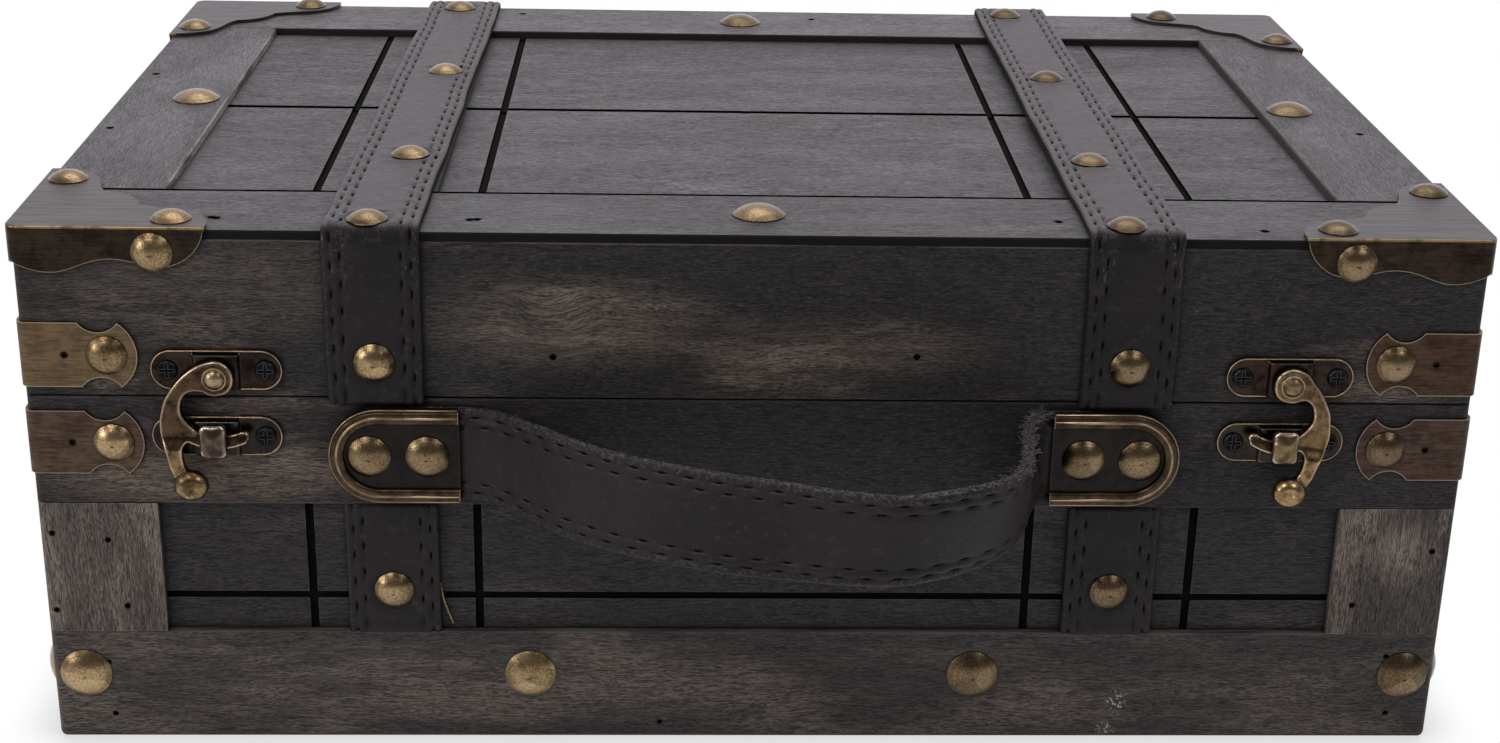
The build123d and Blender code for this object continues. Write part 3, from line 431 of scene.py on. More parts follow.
def leather(name, seed, cracks=None, rough=0.45, fuzz=0.0, gain=1.0):
    """`cracks` are two heights between which the surface is creased and grey; `fuzz` is the share of grey fibres."""
    s = Shader(name)
    broad, fine = s.noise(45, 3, 0.5, (seed, seed, seed)), s.noise(520, 4, 0.65, (seed, 0, 0))
    dark, pale = lighter((0.0055, 0.0044, 0.0047), gain), lighter((0.0105, 0.0082, 0.0086), gain)
    s.color = s.mix(s.ramp(broad, 0.3, 0.7), dark, pale)
    s.coat((0.027, 0.0215, 0.021), s.ramp(fine, 0.54, 0.72, 0.0, 0.75))
    # Dust has settled on what faces up, and a painted sheen lightens it further
    dust_and_sheen = s.mix(s.ramp(s.weighed(broad, fine, 0.5), 0.36, 0.62), (0.03, 0.0245, 0.028), (0.062, 0.052, 0.058))
    s.coat(dust_and_sheen, s.ramp(s.facing()[2], 0.6, 0.97))
    height = s.weighed(s.ramp(s.cells(1300, "DISTANCE_TO_EDGE")[0], 0.0, 0.25), fine, 0.35)
    if cracks is not None:
        low, high = cracks
        x, _, z = s.split(s.place)
        net = s.cells((1900, 2400, 1500), "DISTANCE_TO_EDGE", (seed, 0, 0))[0]
        scuff = s.noise((1500, 1500, 420), 4, 0.7, (seed, 0, 0))
        fold = s.times(s.band(z, low, high, 1.0 * MM), s.ramp(s.noise(300, 3, 0.6), 0.36, 0.56))
        crease = s.times(s.ramp(net, 0.02, 0.12, 1.0, 0.0), fold)
        off_middle = s.math("ABSOLUTE", s.plus(s.math("ABSOLUTE", x), -STRAP_MIDDLE))
        s.coat((0.05, 0.044, 0.043), fold, s.ramp(fine, 0.48, 0.62, 0.05, 0.6))
        s.coat(WORN_LINE, s.ramp(off_middle, 4.8 * MM, 6.4 * MM), s.ramp(z, low - 13 * MM, low + 2 * MM),
               s.ramp(z, high, high + 1 * MM, 1.0, 0.0), s.ramp(scuff, 0.57, 0.68))
        s.coat((0.004,) * 3, crease)
        height = s.minus(height, s.times(crease, 1.6))
    if fuzz:
        s.coat((0.085, 0.08, 0.08), s.ramp(s.noise(1100, 4, 0.75, (seed, seed, 0)), 0.5, 0.62), fuzz)
    s.coat((0.06, 0.05, 0.046), s.edges(0.5 * MM, 0.05, 0.35), 0.3)
    # Painted shade in corners and beside other pieces
    s.coat(GRIME_AND_SHADE, s.ramp(s.closeness(1.6 * MM), 0.1, 0.6), 0.75)
    s.coat((0.35,) * 3, s.specks(7 * MM), 0.6)
    return s.finish(s.ramp(broad, 0.2, 0.8, rough - 0.06, rough + 0.08), 0.0, height, 0.12 * MM, 0.18)


def raw_edge(name, pale):
    """The cut edge of leather: fuzzy, in thin layers."""
    s = Shader(name)
    fuzz = s.noise(1500, 3, 0.7)
    s.color = s.mix(s.ramp(fuzz, 0.4, 0.7), (0.006, 0.005, 0.005), pale)
    s.coat((0.012, 0.01, 0.01), s.ramp(s.noise((150, 150, 1200), 2, 0.5), 0.5, 0.7, 0.0, 0.5))
    return s.finish(0.9, 0.0, fuzz, 0.4 * MM, 0.2)


def thread(name, dark, pale):
    s = Shader(name)
    twist = s.noise(2600, 2, 0.5)
    s.color = s.mix(s.ramp(twist, 0.35, 0.65), dark, pale)
    return s.finish(0.85, 0.0, twist, 0.1 * MM, 0.06)


FRONT_CRACKS = (top_z - 2.6 * MM, top_z + 0.6 * MM)
strap_leather = leather("strap_leather", 3, FRONT_CRACKS)
strap_rim = leather("strap_rim_leather", 3, FRONT_CRACKS, fuzz=0.22)
plain_leather = leather("plain_leather", 5, gain=1.3)
plain_rim = leather("plain_rim_leather", 5, fuzz=0.25, gain=1.3)
handle_skin = leather("handle_leather", 8, rough=0.5, gain=1.4)
handle_rim = leather("handle_rim_leather", 8, rough=0.55, fuzz=0.36, gain=1.4)
strap_edge = raw_edge("strap_raw_edge", (0.014, 0.012, 0.012))
handle_edge = raw_edge("handle_raw_edge", (0.1, 0.094, 0.093))
stitch_thread = thread("stitch_thread", (0.0016, 0.0011, 0.0012), (0.006, 0.0038, 0.0043))
fray_thread = thread("fray_thread", (0.045, 0.042, 0.041), (0.15, 0.142, 0.138))
straw_thread = thread("straw_thread", (0.12, 0.105, 0.03), (0.26, 0.23, 0.09))


# Old brass and bronze: dark patina, bright where it is worn by rubbing, with painted highlights on edges and curves
# and painted shade in corners
def metal(
    name, dark, bright, seed, rough=0.34, shine=(0.6, 0.46, 0.3), line=0.35, line_share=0.8, grime_and_shade=0.8, brushed=None,
    scale=420, curves=0.0, black_from=None, tail=None, holes=(), aside=None, domed=False,
    varied=False,
):
    """`black_from` is a y behind which the metal is black: a plate's dished floor, and painted shade under a keeper's
    head; `tail` two heights between which the metal turns golden, `aside` the dark and bright colours of the right
    half, partly its own tone and partly painted light and shade; `domed` metal is darker towards its rim and duller
    where it faces up, as painted shade, and `varied` metal differs from place to place."""
    s = Shader(name)
    spots = s.noise(scale, 6, 0.72, (seed, 0, 0))
    share = s.weighed(spots, s.noise(150, 3, 0.5, (seed, seed, 0)), 0.7)
    if brushed is not None:
        share = s.weighed(share, s.noise(brushed, 3, 0.6, (seed, 0, 0)), 0.55)
    share = s.ramp(share, 0.36, 0.62)
    x, y, z = s.split(s.place)
    # The right half has colours of its own: partly its tone, partly painted light and shade
    if aside is not None:
        rightward = s.ramp(x, -0.05, 0.05)
        dark, bright = s.mix(rightward, dark, aside[0]), s.mix(rightward, bright, aside[1])
    s.color = s.mix(share, dark, bright)
    if tail is not None:
        s.coat(s.mix(share, (0.08, 0.05, 0.023), (0.38, 0.255, 0.12)), s.ramp(z, *tail, 1.0, 0.0), 0.8)
    # Bright edges and curves: wear, brightened further as a painted highlight
    s.coat(shine, s.edges(line * MM, 0.012, 0.14), line_share)
    if curves:
        s.coat(shine, s.rubbed_and_highlit(), curves)
    # Painted shade: darker towards the rim of a dome, and duller where it faces up
    if domed:
        facing = s.facing()
        flat = s.most(*(s.math("ABSOLUTE", part) for part in facing))
        s.coat((0.02, 0.0125, 0.006), s.ramp(flat, 0.6, 0.97, 0.92, 0.0))
        s.coat((0.055, 0.043, 0.025), s.ramp(facing[2], 0.55, 0.95, 0.0, 0.5))
    if varied:
        s.shade(s.ramp(s.split(s.cells(70)[1])[0], 0.0, 1.0, 0.72, 1.25))
    # Black behind a given y: a plate's dished floor, and painted shade under a keeper's head
    if black_from is not None:
        s.coat((0.013, 0.0125, 0.0135), s.ramp(y, black_from, black_from + 0.2 * MM), 0.88)
    # Grime, and painted shade, in corners and beside other pieces
    s.coat((0.006, 0.004, 0.003), s.ramp(s.closeness(1.2 * MM), 0.12, 0.6), grime_and_shade)
    for centre, radius in holes:
        s.coat(GRIME_AND_SHADE, s.spot(centre, radius, 0.35))
    return s.finish(s.ramp(share, 0.0, 1.0, rough + 0.1, rough), 1.0, spots, 0.035 * MM)


WRAP_HOLE, NAIL_X = 0.8 * MM, 141.2 * MM
arm_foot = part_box("latch_arm_left")[0].z
plate_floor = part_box("handle_plate_left")[0].y + 0.6 * MM
wrap_boxes = (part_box("lid_corner_wraps"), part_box("base_corner_wraps"))
wrap_holes = [(Vector((x, wall_y - 0.6 * MM, (low.z + high.z) / 2)), WRAP_HOLE)
              for x in (-NAIL_X, NAIL_X) for low, high in wrap_boxes]
TACK_LOOK = {"rough": 0.21, "shine": (0.36, 0.27, 0.15), "grime_and_shade": 0.95, "line_share": 0.0, "scale": 2300,
             "domed": True, "varied": True}
SHEET_LOOK = {"rough": 0.45, "brushed": (260, 260, 2600), "line": 0.5, "line_share": 0.95, "holes": wrap_holes}

gold = metal("antique_gold", (0.16, 0.108, 0.054), (0.42, 0.3, 0.165), 3,
             aside=((0.085, 0.057, 0.031), (0.21, 0.15, 0.088)), **TACK_LOOK)
plate_gold = metal("plate_gold", (0.083, 0.056, 0.03), (0.21, 0.15, 0.086), 3, **TACK_LOOK)
bronze = metal("dark_bronze", (0.011, 0.008, 0.0072), (0.036, 0.0255, 0.02), 5, 0.36, line=0.25)
plate_bronze = metal("plate_bronze", (0.024, 0.0155, 0.0105), (0.075, 0.05, 0.03), 4, 0.32, line=0.25,
                     black_from=plate_floor)
keeper_bronze = metal("keeper_bronze", (0.032, 0.022, 0.017), (0.12, 0.085, 0.064), 6, 0.24, (0.62, 0.53, 0.43),
                      curves=0.95, black_from=wall_y - 2.3 * MM, aside=((0.045, 0.031, 0.016), (0.2, 0.142, 0.078)))
arm_bronze = metal("arm_bronze", (0.017, 0.0105, 0.0066), (0.082, 0.05, 0.03), 7, 0.24, (0.6, 0.46, 0.32),
                   curves=0.7, tail=(arm_foot + 4 * MM, arm_foot + 15 * MM),
                   aside=((0.032, 0.02, 0.01), (0.155, 0.1, 0.052)))
rivet_bronze = metal("rivet_bronze", (0.15, 0.108, 0.066), (0.42, 0.32, 0.205), 14, 0.3, grime_and_shade=0.7, domed=True,
                     aside=((0.13, 0.095, 0.048), (0.38, 0.29, 0.16)))
bright_rim = metal("bright_rim", (0.06, 0.039, 0.027), (0.25, 0.172, 0.115), 8, 0.3, grime_and_shade=0.3)
silver_rim = metal("silver_rim", (0.2, 0.165, 0.135), (0.56, 0.49, 0.41), 12, 0.27, grime_and_shade=0.3,
                   aside=((0.13, 0.095, 0.055), (0.42, 0.33, 0.2)))
copper_rim = metal("copper_rim", (0.11, 0.06, 0.038), (0.36, 0.21, 0.13), 15, 0.32, grime_and_shade=0.5,
                   aside=((0.1, 0.068, 0.038), (0.33, 0.24, 0.14)))
wrap_sheet = metal("wrap_sheet", (0.085, 0.055, 0.033), (0.16, 0.108, 0.062), 9, shine=(0.42, 0.34, 0.23),
                   aside=((0.036, 0.022, 0.016), (0.076, 0.047, 0.033)), **SHEET_LOOK)
dark_wrap_sheet = metal("dark_wrap_sheet", (0.045, 0.029, 0.022), (0.1, 0.066, 0.047), 10, shine=(0.36, 0.29, 0.22),
                        aside=((0.036, 0.023, 0.019), (0.078, 0.05, 0.04)), **SHEET_LOOK)
hinge_metal = metal("hinge_bronze", (0.04, 0.03, 0.02), (0.12, 0.08, 0.045), 11)
black = metal("black_screws", (0.0036, 0.0036, 0.004), (0.0115, 0.0116, 0.0128), 13, shine=(0.1, 0.096, 0.096),
              grime_and_shade=1.0)


def protector_sheet():
    """Painted like the wood on the top of the lid; bare bronze with a bright fold on the sides."""
    s = Shader("protector_sheet")
    spots = s.noise(300, 5, 0.65, warp=0.5)
    fibre = s.noise((70, 900, 900), 3, 0.6)
    x, y, z = s.split(s.place)
    upward = s.facing()[2]
    share = s.ramp(s.weighed(spots, s.noise((120, 120, 2200), 3, 0.6), 0.6), 0.34, 0.66)
    s.color = s.mix(share, (0.0135, 0.0095, 0.0075), (0.038, 0.0265, 0.019))
    s.coat((0.27, 0.19, 0.1), s.ramp(z, top_z + 0.2 * MM, top_z + 0.5 * MM), s.ramp(spots, 0.3, 0.55, 0.25, 1.0))
    s.coat((0.4, 0.33, 0.24), s.edges(0.4 * MM, 0.012, 0.14), s.ramp(z, top_z - 1 * MM, top_z, 0.8, 0.2))
    bare = s.surface({"Base Color": s.color, "Roughness": 0.38, "Metallic": 1.0}, s.plus(spots, fibre), 0.05 * MM)
    # The cut edge of the leaf on top of the lid is painted over like the leaf, darker than it where it doesn't face
    # up: a painted shade
    inward = s.times(*(s.ramp(s.math("ABSOLUTE", value), limit - 1.2 * MM, limit - 0.8 * MM, 1.0, 0.0)
                       for value, limit in ((x, half_w), (y, -wall_y))))
    s.color = s.mix(s.ramp(fibre, 0.4, 0.65), (0.02, 0.0165, 0.018), (0.047, 0.0395, 0.041))
    s.coat((0.012, 0.008, 0.006), inward, s.ramp(upward, 0.5, 0.9, 0.9, 0.0))
    s.coat((0.1, 0.085, 0.07), s.edges(0.35 * MM, 0.02, 0.2), 0.4)
    values = {"Base Color": s.color, "Roughness": 0.45, "Specular IOR Level": 0.4}
    painted = s.surface(values, s.plus(spots, fibre), 0.15 * MM)
    return s.layered(s.most(s.ramp(upward, 0.75, 0.97), inward), bare, painted)


# The first pair whose text is in a node's name gives its material
METAL_OF = (
    ("handle_plate_tacks", plate_gold), ("tacks", gold), ("screws", black), ("handle_plate", plate_bronze),
    ("latch_plate", bronze), ("latch_keeper", keeper_bronze), ("latch_rivets", rivet_bronze),
    ("lid_corner_wraps", wrap_sheet), ("base_corner_wraps", dark_wrap_sheet),
    ("corner_protector", protector_sheet()), ("hinge_leaf", hinge_metal), ("hinge_pins", hinge_metal))
for node in nodes:
    for text, material in METAL_OF:
        if text in node:
            dress(node, material)
            break


# Pieces made of meshes
def add_piece(name, verts, faces, materials, picks=None):
    mesh = bpy.data.meshes.new(name)
    mesh.from_pydata(verts, [], faces)
    for material in materials:
        mesh.materials.append(material)
    if picks is not None:
        mesh.polygons.foreach_set("material_index", picks)
    mesh.polygons.foreach_set("use_smooth", [True] * len(faces))
    mesh.update()
    shaped = bmesh.new()
    shaped.from_mesh(mesh)
    bmesh.ops.recalc_face_normals(shaped, faces=shaped.faces)
    shaped.to_mesh(mesh)
    shaped.free()
    return linked(name, mesh)


def ribbon(name, stations, columns, outer, inner, materials, rim):
    """A strap: at each station a place, an across vector and a normal; `outer` and `inner` give its two faces.
    Its materials are for the face, the cut edges and the `rim` outermost columns."""
    verts = [origin + across * w + normal * face(u, w)
             for face in (outer, inner) for u, origin, across, normal in stations for w in columns]
    faces, picks = [], []
    count, half = len(columns), len(stations) * len(columns)
    for i in range(len(stations) - 1):
        for j in range(count - 1):
            a = i * count + j
            faces.append((a, a + 1, a + count + 1, a + count))
            faces.append(tuple(v + half for v in (a, a + count, a + count + 1, a + 1)))
            picks += [2 if j < rim or j >= count - 1 - rim else 0] * 2
        for a in (i * count, i * count + count - 1):
            faces.append((a, a + count, a + count + half, a + half))
            picks.append(1)
    for i in (0, len(stations) - 1):
        for a in range(i * count, i * count + count - 1):
            faces.append((a, a + 1, a + 1 + half, a + half))
            picks.append(1)
    return add_piece(name, verts, faces, materials, picks)


def circle(centre, side, other, radius, sides):
    """A ring of places round a centre, in the plane of two directions."""
    turns = [2 * math.pi * k / sides for k in range(sides)]
    return [centre + (side * math.cos(turn) + other * math.sin(turn)) * radius for turn in turns]


def skin(verts, faces, rings, closed=False):
    """Joins rings of places into a tube, with flat ends if it isn't closed."""
    base, count, sides = len(verts), len(rings), len(rings[0])
    for places in rings:
        verts += places
    for i in range(count if closed else count - 1):
        a, b = base + i * sides, base + (i + 1) % count * sides
        for k in range(sides):
            after = (k + 1) % sides
            faces.append((a + k, a + after, b + after, b + k))
    if not closed:
        for end in (base, base + (count - 1) * sides):
            faces.append(tuple(range(end, end + sides)))


def tube(name, routes, radius, material, sides=8, closed=False):
    """One or more thin tubes along lists of places."""
    verts, faces = [], []
    for route in routes:
        rings, count = [], len(route)
        for i, here in enumerate(route):
            before = route[i - 1] if (i or closed) else here
            after = route[(i + 1) % count] if (i + 1 < count or closed) else here
            along = (after - before).normalized()
            side = along.cross(Vector((0, 1, 0)) if abs(along.y) < 0.9 else Vector((1, 0, 0))).normalized()
            rings.append(circle(here, side, along.cross(side), radius, sides))
        skin(verts, faces, rings, closed)
    return add_piece(name, verts, faces, [material])


# Each stitch: shares of its length, widths and heights of its rings, as shares of the thread's radius
STITCH_RINGS = ((-0.5, 0.35, -0.7), (-0.32, 0.95, -0.1), (0.0, 1.0, 0.15), (0.32, 0.95, -0.1), (0.5, 0.35, -0.7))
STITCH_SIDES = 6
STITCH_SHARES, STITCH_PHASES = (1.7, 3.7), (0.0, 0.35)
STITCH_PITCH, STITCH_LENGTH, STITCH_RADIUS = 6.0 * MM, 2.2 * MM, 0.31 * MM


def stitches(name, stations, half, face, skip=None):
    """Short threads in rows along both edges of a strap, sunk into its face."""
    verts, faces = [], []

    def spot_at(u):
        last = len(stations) - 2
        index = next((i for i in range(last) if stations[i + 1][0] >= u), last)
        a, b = stations[index], stations[index + 1]
        t = (u - a[0]) / max(1e-9, b[0] - a[0])
        return [a[k].lerp(b[k], t) for k in (1, 2, 3)] + [(b[1] - a[1]).normalized()]

    rows = [sign * (half - row * MM) for sign in (-1, 1) for row in STITCH_SHARES]
    for number, w in enumerate(rows):
        for count in range(1, int(stations[-1][0] / STITCH_PITCH)):
            u = STITCH_PITCH * (count + STITCH_PHASES[number % 2] + 0.05 * random.uniform(-1, 1))
            origin, across, normal, along = spot_at(u)
            if skip is None or not skip(u, w):
                tilt = 0.12 * (random.random() - 0.5)
                heading = (along + across.normalized() * tilt).normalized()
                side = heading.cross(normal).normalized()
                rings = []
                for share, width, sink in STITCH_RINGS:
                    here = origin + across * w + heading * share * STITCH_LENGTH
                    here += normal * (face(u, w) + sink * STITCH_RADIUS)
                    rings.append(circle(here, side, normal, STITCH_RADIUS * width, STITCH_SIDES))
                skin(verts, faces, rings)
    return add_piece(name, verts, faces, [stitch_thread])


# Cross-section of the straps: two rows of stitches along each edge, with a low welt between them.
# Columns are millimetres in from an edge.
SURFACE = 1.85 * MM
EDGE_COLUMNS = (0, 0.12, 0.35, 0.8, 1.3, 1.55, 1.7, 1.85, 2.1, 2.7, 3.3, 3.55, 3.7, 3.85, 4.2, 5.0)
WELT, WELT_WIDTH = 2.7, 0.75


def columns_for(half):
    inset = [half - c * MM for c in EDGE_COLUMNS]
    return [-v for v in inset] + [-half * 0.35, 0, half * 0.35] + inset[::-1]


def welted(half, surface, seed, rounded=0.5):
    """The height of a stitched face over its back, at u along and w across."""
    def face(u, w):
        edge = (half - abs(w)) / MM
        height = surface / MM
        height -= rounded * math.exp(-edge / 0.3)
        height += 0.16 * math.exp(-((edge - WELT) / WELT_WIDTH) ** 2)
        for row, phase in zip(STITCH_SHARES, STITCH_PHASES):
            pucker = 0.3 + 0.28 * math.cos(2 * math.pi * (u / STITCH_PITCH - phase))
            height -= pucker * math.exp(-((edge - row) / 0.36) ** 2)
        height += 0.10 * noise.noise(Vector((u / MM * 0.09, w / MM * 0.14, seed)))
        height += 0.04 * noise.noise(Vector((u / MM * 0.6, w / MM * 0.5, seed + 9)))
        return height * MM
    return face


def eased(t):
    """A smooth step from 0 to 1."""
    t = min(1.0, max(0.0, t))
    return t * t * (3 - 2 * t)


SMALL_TACK = 4.15 * MM
TACK_SEAT, TACK_SWELL = 1.55 * MM, 0.4 * MM
DIMPLE, DIMPLE_SPREAD = SMALL_TACK + 0.2 * MM, 2.2 * MM


def dimpled(face, tacks):
    """The same face pressed down under tacks given by their u and w, and raised round them."""
    def pressed(u, w):
        height = face(u, w)
        for tack_u, tack_w in tacks:
            out = (math.hypot(u - tack_u, w - tack_w) - DIMPLE) / DIMPLE_SPREAD
            height += (TACK_SEAT - height) * (1 - eased(out))
            height += TACK_SWELL * math.exp(-((out - 0.5) / 0.35) ** 2)
        return height
    return pressed


def tack_centres(node, low_x, high_x):
    """Middle and low corner of each tack of a node between two x values, from the joined vertices of each solid."""
    joined = bmesh.new()
    joined.from_mesh(nodes[node].data)
    bmesh.ops.remove_doubles(joined, verts=joined.verts, dist=1e-6)
    seen, centres = set(), []
    for first in joined.verts:
        if first in seen:
            continue
        group = [first]
        seen.add(first)
        for vert in group:
            others = {edge.other_vert(vert) for edge in vert.link_edges} - seen
            seen |= others
            group += others
        low, high = (Vector([pick(vert.co[k] for vert in group) for k in range(3)]) for pick in (min, max))
        if low_x <= (low.x + high.x) / 2 <= high_x:
            centres.append(((low + high) / 2, low))
    joined.free()
    return centres


STRAP_STEP, STRAP_FOLD, FOLD_STEPS, STRAP_DROP = 0.75 * MM, 0.6 * MM, 8, 1.0 * MM
half_strap = (strap_box["left"][1].x - strap_box["left"][0].x) / 2


def strap_route(front_z, back_z):
    """Places and normals over the lid: up the front, over the top and down the back, against the wood."""
    legs = []
    up, forward, backward = Vector((0, 0, 1)), Vector((0, -1, 0)), Vector((0, 1, 0))
    bend_z, front_y, rear_y = top_z - STRAP_FOLD, wall_y + STRAP_FOLD, back_y - STRAP_FOLD

    def straight(start, end, normal):
        start, end = Vector((0, *start)), Vector((0, *end))
        steps = round((end - start).length / STRAP_STEP)
        for i in range(steps + 1):
            legs.append((start.lerp(end, i / steps), normal))

    def folded(y, before, after):
        for i in range(1, FOLD_STEPS):
            turn = math.pi / 2 * i / FOLD_STEPS
            normal = before * math.cos(turn) + after * math.sin(turn)
            legs.append((Vector((0, y, bend_z)) + normal * STRAP_FOLD, normal))

    straight((wall_y, front_z), (wall_y, bend_z), forward)
    folded(front_y, forward, up)
    straight((front_y, top_z), (rear_y, top_z), up)
    folded(rear_y, up, backward)
    straight((back_y, bend_z), (back_y, back_z), backward)
    return legs


def add_strap(name, ending, node, body, stations, seed, tacks, looks, skip=None):
    """A stitched strap with dimples under its tacks."""
    face = dimpled(welted(half_strap, SURFACE, seed), tacks)
    strap = ribbon(name + ending, stations, columns_for(half_strap), face, lambda u, w: 0.0, looks, 3)
    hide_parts(node)
    seam = stitches(name + "_stitches", stations, half_strap, face, skip)
    for piece in (strap, seam):
        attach(piece, body)


# How far each lid strap is off its middle, at its front and at its back
LEAN = {"left": (-1.8 * MM, 0.2 * MM), "right": (0.0, -0.4 * MM)}
for side, (low, high) in strap_box.items():
    middle_x = (low.x + high.x) / 2
    legs = strap_route(seam_z - STRAP_DROP, seam_z)
    stations, u = [], 0.0
    for (place, normal), (before, _) in zip(legs, legs[:1] + legs):
        u += (place - before).length
        share = (place.y - wall_y) / (back_y - wall_y)
        lean = LEAN[side][0] + (LEAN[side][1] - LEAN[side][0]) * share
        lean += 0.35 * MM * noise.noise(Vector((u / MM * 0.035, middle_x * 100, 3.1)))
        width = 1 + 0.025 * noise.noise(Vector((u / MM * 0.07, middle_x * 100, 8.2)))
        stations.append((u, Vector((middle_x + lean, place.y, place.z)), Vector((width, 0, 0)), normal))
    tacks = []
    for centre, corner in tack_centres("lid_small_tacks", low.x, high.x):
        # The foot of the tack on the wood, and the station nearest to it
        foot = Vector((centre.x, centre.y, top_z))
        if corner.z < top_z - 12 * MM:
            foot = Vector((centre.x, wall_y if centre.y < 0 else back_y, centre.z))
        near = min(stations, key=lambda station: (station[1].yz - foot.yz).length)
        tacks.append((near[0], foot.x - near[1].x))

    def under_tack(u, w):
        return any(math.hypot(u - tack_u, w - tack_w) < SMALL_TACK + 0.6 * MM for tack_u, tack_w in tacks)

    add_strap("lid_strap_" + side, "_leather", "lid_strap_" + side, "lid", stations, middle_x * 100, tacks,
              [strap_leather, strap_edge, strap_rim], under_tack)

# Short straps on the base, between its rails
SHORT_STEPS = 30
for wall, out in (("front", -1), ("back", 1)):
    low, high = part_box("base_straps_" + wall)
    seat_y = high.y if wall == "front" else low.y
    for side, sign in SIDES:
        middle_x = sign * (abs(low.x) - half_strap)
        heights = [(rail_low_z - rail_high_z) * i / SHORT_STEPS for i in range(SHORT_STEPS + 1)]
        stations = [(u, Vector((middle_x, seat_y, rail_high_z + u)), Vector((-out, 0, 0)), Vector((0, out, 0)))
                    for u in heights]
        tacks = [(centre.z - rail_high_z, (centre.x - middle_x) * -out)
                 for centre, _ in tack_centres("base_small_tacks", middle_x - 2 * MM, middle_x + 2 * MM)
                 if centre.z < rail_low_z]
        add_strap("base_strap_" + wall + "_" + side, "", "base_straps_" + wall, "base", stations, middle_x * 90,
                  tacks, [plain_leather, strap_edge, plain_rim])

# The handle: a leather strap whose upper edge leans out further than the lower one at its right end.
# Places of its lower and upper edge seen from above, in millimetres: x, y of each.
HANDLE_EDGES = (
    (-87.8, -102.2, -87.8, -102.2), (-75.0, -102.2, -75.0, -102.2), (-63.5, -102.2, -63.5, -102.2),
    (-60.3, -102.6, -60.3, -102.3), (-54.5, -105.2, -54.5, -103.7), (-46.5, -112.7, -46.3, -110.4),
    (-38.5, -121.3, -38.2, -117.7), (-29.3, -127.4, -29.3, -124.7), (-20.5, -131.9, -20.6, -129.2),
    (-8.0, -136.9, -8.0, -134.6), (5.0, -139.9, 5.0, -139.2), (16.5, -141.8, 16.5, -143.6),
    (27.5, -141.9, 27.8, -145.2), (39.0, -136.6, 39.9, -141.2), (47.8, -128.6, 48.4, -136.6),
    (53.0, -119.0, 52.6, -129.0), (56.0, -109.5, 54.6, -116.0), (58.6, -103.9, 57.2, -105.6),
    (62.5, -102.2, 62.5, -102.2), (75.0, -102.2, 75.0, -102.2), (87.8, -102.2, 87.8, -102.2))
HANDLE_THICK, HANDLE_PARTS, HANDLE_ROUNDED = 2.4 * MM, 12, 0.35
tab_low, tab_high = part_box("handle_tab_left")
half_handle, tab_end = (tab_high.z - tab_low.z) / 2, -tab_low.x


def smooth_line(points, parts):
    """Places on a smooth line through the given ones."""
    line, last = [], len(points) - 1
    for i in range(last):
        p0, p1, p2, p3 = (points[min(last, max(0, i + k))] for k in (-1, 0, 1, 2))
        for k in range(parts):
            t = k / parts
            line.append(0.5 * ((2 * p1) + (p2 - p0) * t + (2 * p0 - 5 * p1 + 4 * p2 - p3) * t * t
                               + (3 * p1 - p0 - 3 * p2 + p3) * t ** 3))
    line.append(points[-1].copy())
    return line


lower, upper = (
    smooth_line([Vector((edge[k] * MM, edge[k + 1] * MM, z)) for edge in HANDLE_EDGES], HANDLE_PARTS)
    for k, z in ((0, tab_low.z), (2, tab_high.z)))
middles = [(low + high) / 2 for low, high in zip(lower, upper)]
handle_stations, u = [], 0.0
for i, middle in enumerate(middles):
    before, after = middles[max(0, i - 1)], middles[min(len(middles) - 1, i + 1)]
    u += (middle - before).length
    across = (upper[i] - lower[i]) / (2 * half_handle)
    normal = (after - before).normalized().cross(across).normalized()
    into_round = min(0.998, max(0.0, abs(middle.x) - (tab_end - half_handle)) / half_handle)
    handle_stations.append((u, middle, across * math.sqrt(1 - into_round ** 2), normal))
handle_face, handle_back = (welted(half_handle, HANDLE_THICK / 2, seed, HANDLE_ROUNDED) for seed in (4.0, 14.0))
handle = ribbon("handle_leather", handle_stations, columns_for(half_handle), handle_face,
                lambda u, w: -handle_back(u, w), [handle_skin, handle_edge, handle_rim], 4)
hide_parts("handle_strap", "handle_tab_left", "handle_tab_right")


def on_handle(piece):
    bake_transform(piece)


on_handle(handle)
plate_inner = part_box("handle_plate_right")[0].x
free_stations = [station for station in handle_stations if abs(station[1].x) < plate_inner - 0.4 * MM]
start_u = STITCH_PITCH * round(free_stations[0][0] / STITCH_PITCH)
for side, out, face in (("front", 1, handle_face), ("back", -1, handle_back)):
    turned = [(u - start_u, place, across, normal * out) for u, place, across, normal in free_stations]
    on_handle(stitches("handle_stitches_" + side, turned, half_handle, lambda u, w: face(u + start_u, w)))

# Loose fibres along the raw upper edge, longest at the tight bend on the right
hairs = []
for _, place, across, normal in free_stations:
    tight = max(0.0, min(1.0, (place.x - 40 * MM) / (12 * MM)))
    for _ in range(4 + int(16 * tight)):
        if random.random() > 0.5 + tight:
            continue
        root = place + across * half_handle + normal * HANDLE_THICK * 0.45 * random.uniform(-1, 1)
        length = random.uniform(0.25, 0.65) * MM * (1 + 3.2 * tight * random.random())
        heading = Vector((random.uniform(-1, 1), random.uniform(-0.8, 0.8), random.uniform(-0.2, 1.0))).normalized()
        curl = Vector((random.uniform(-1, 1), random.uniform(-1, 1), random.uniform(-1.4, 0.2)))
        root -= heading * 0.15 * MM
        hairs.append([root + heading * length * t + curl * length * 0.5 * t * t for t in (0.0, 0.35, 0.7, 1.0)])
on_handle(tube("handle_fray", hairs, 0.055 * MM, fray_thread, 3))

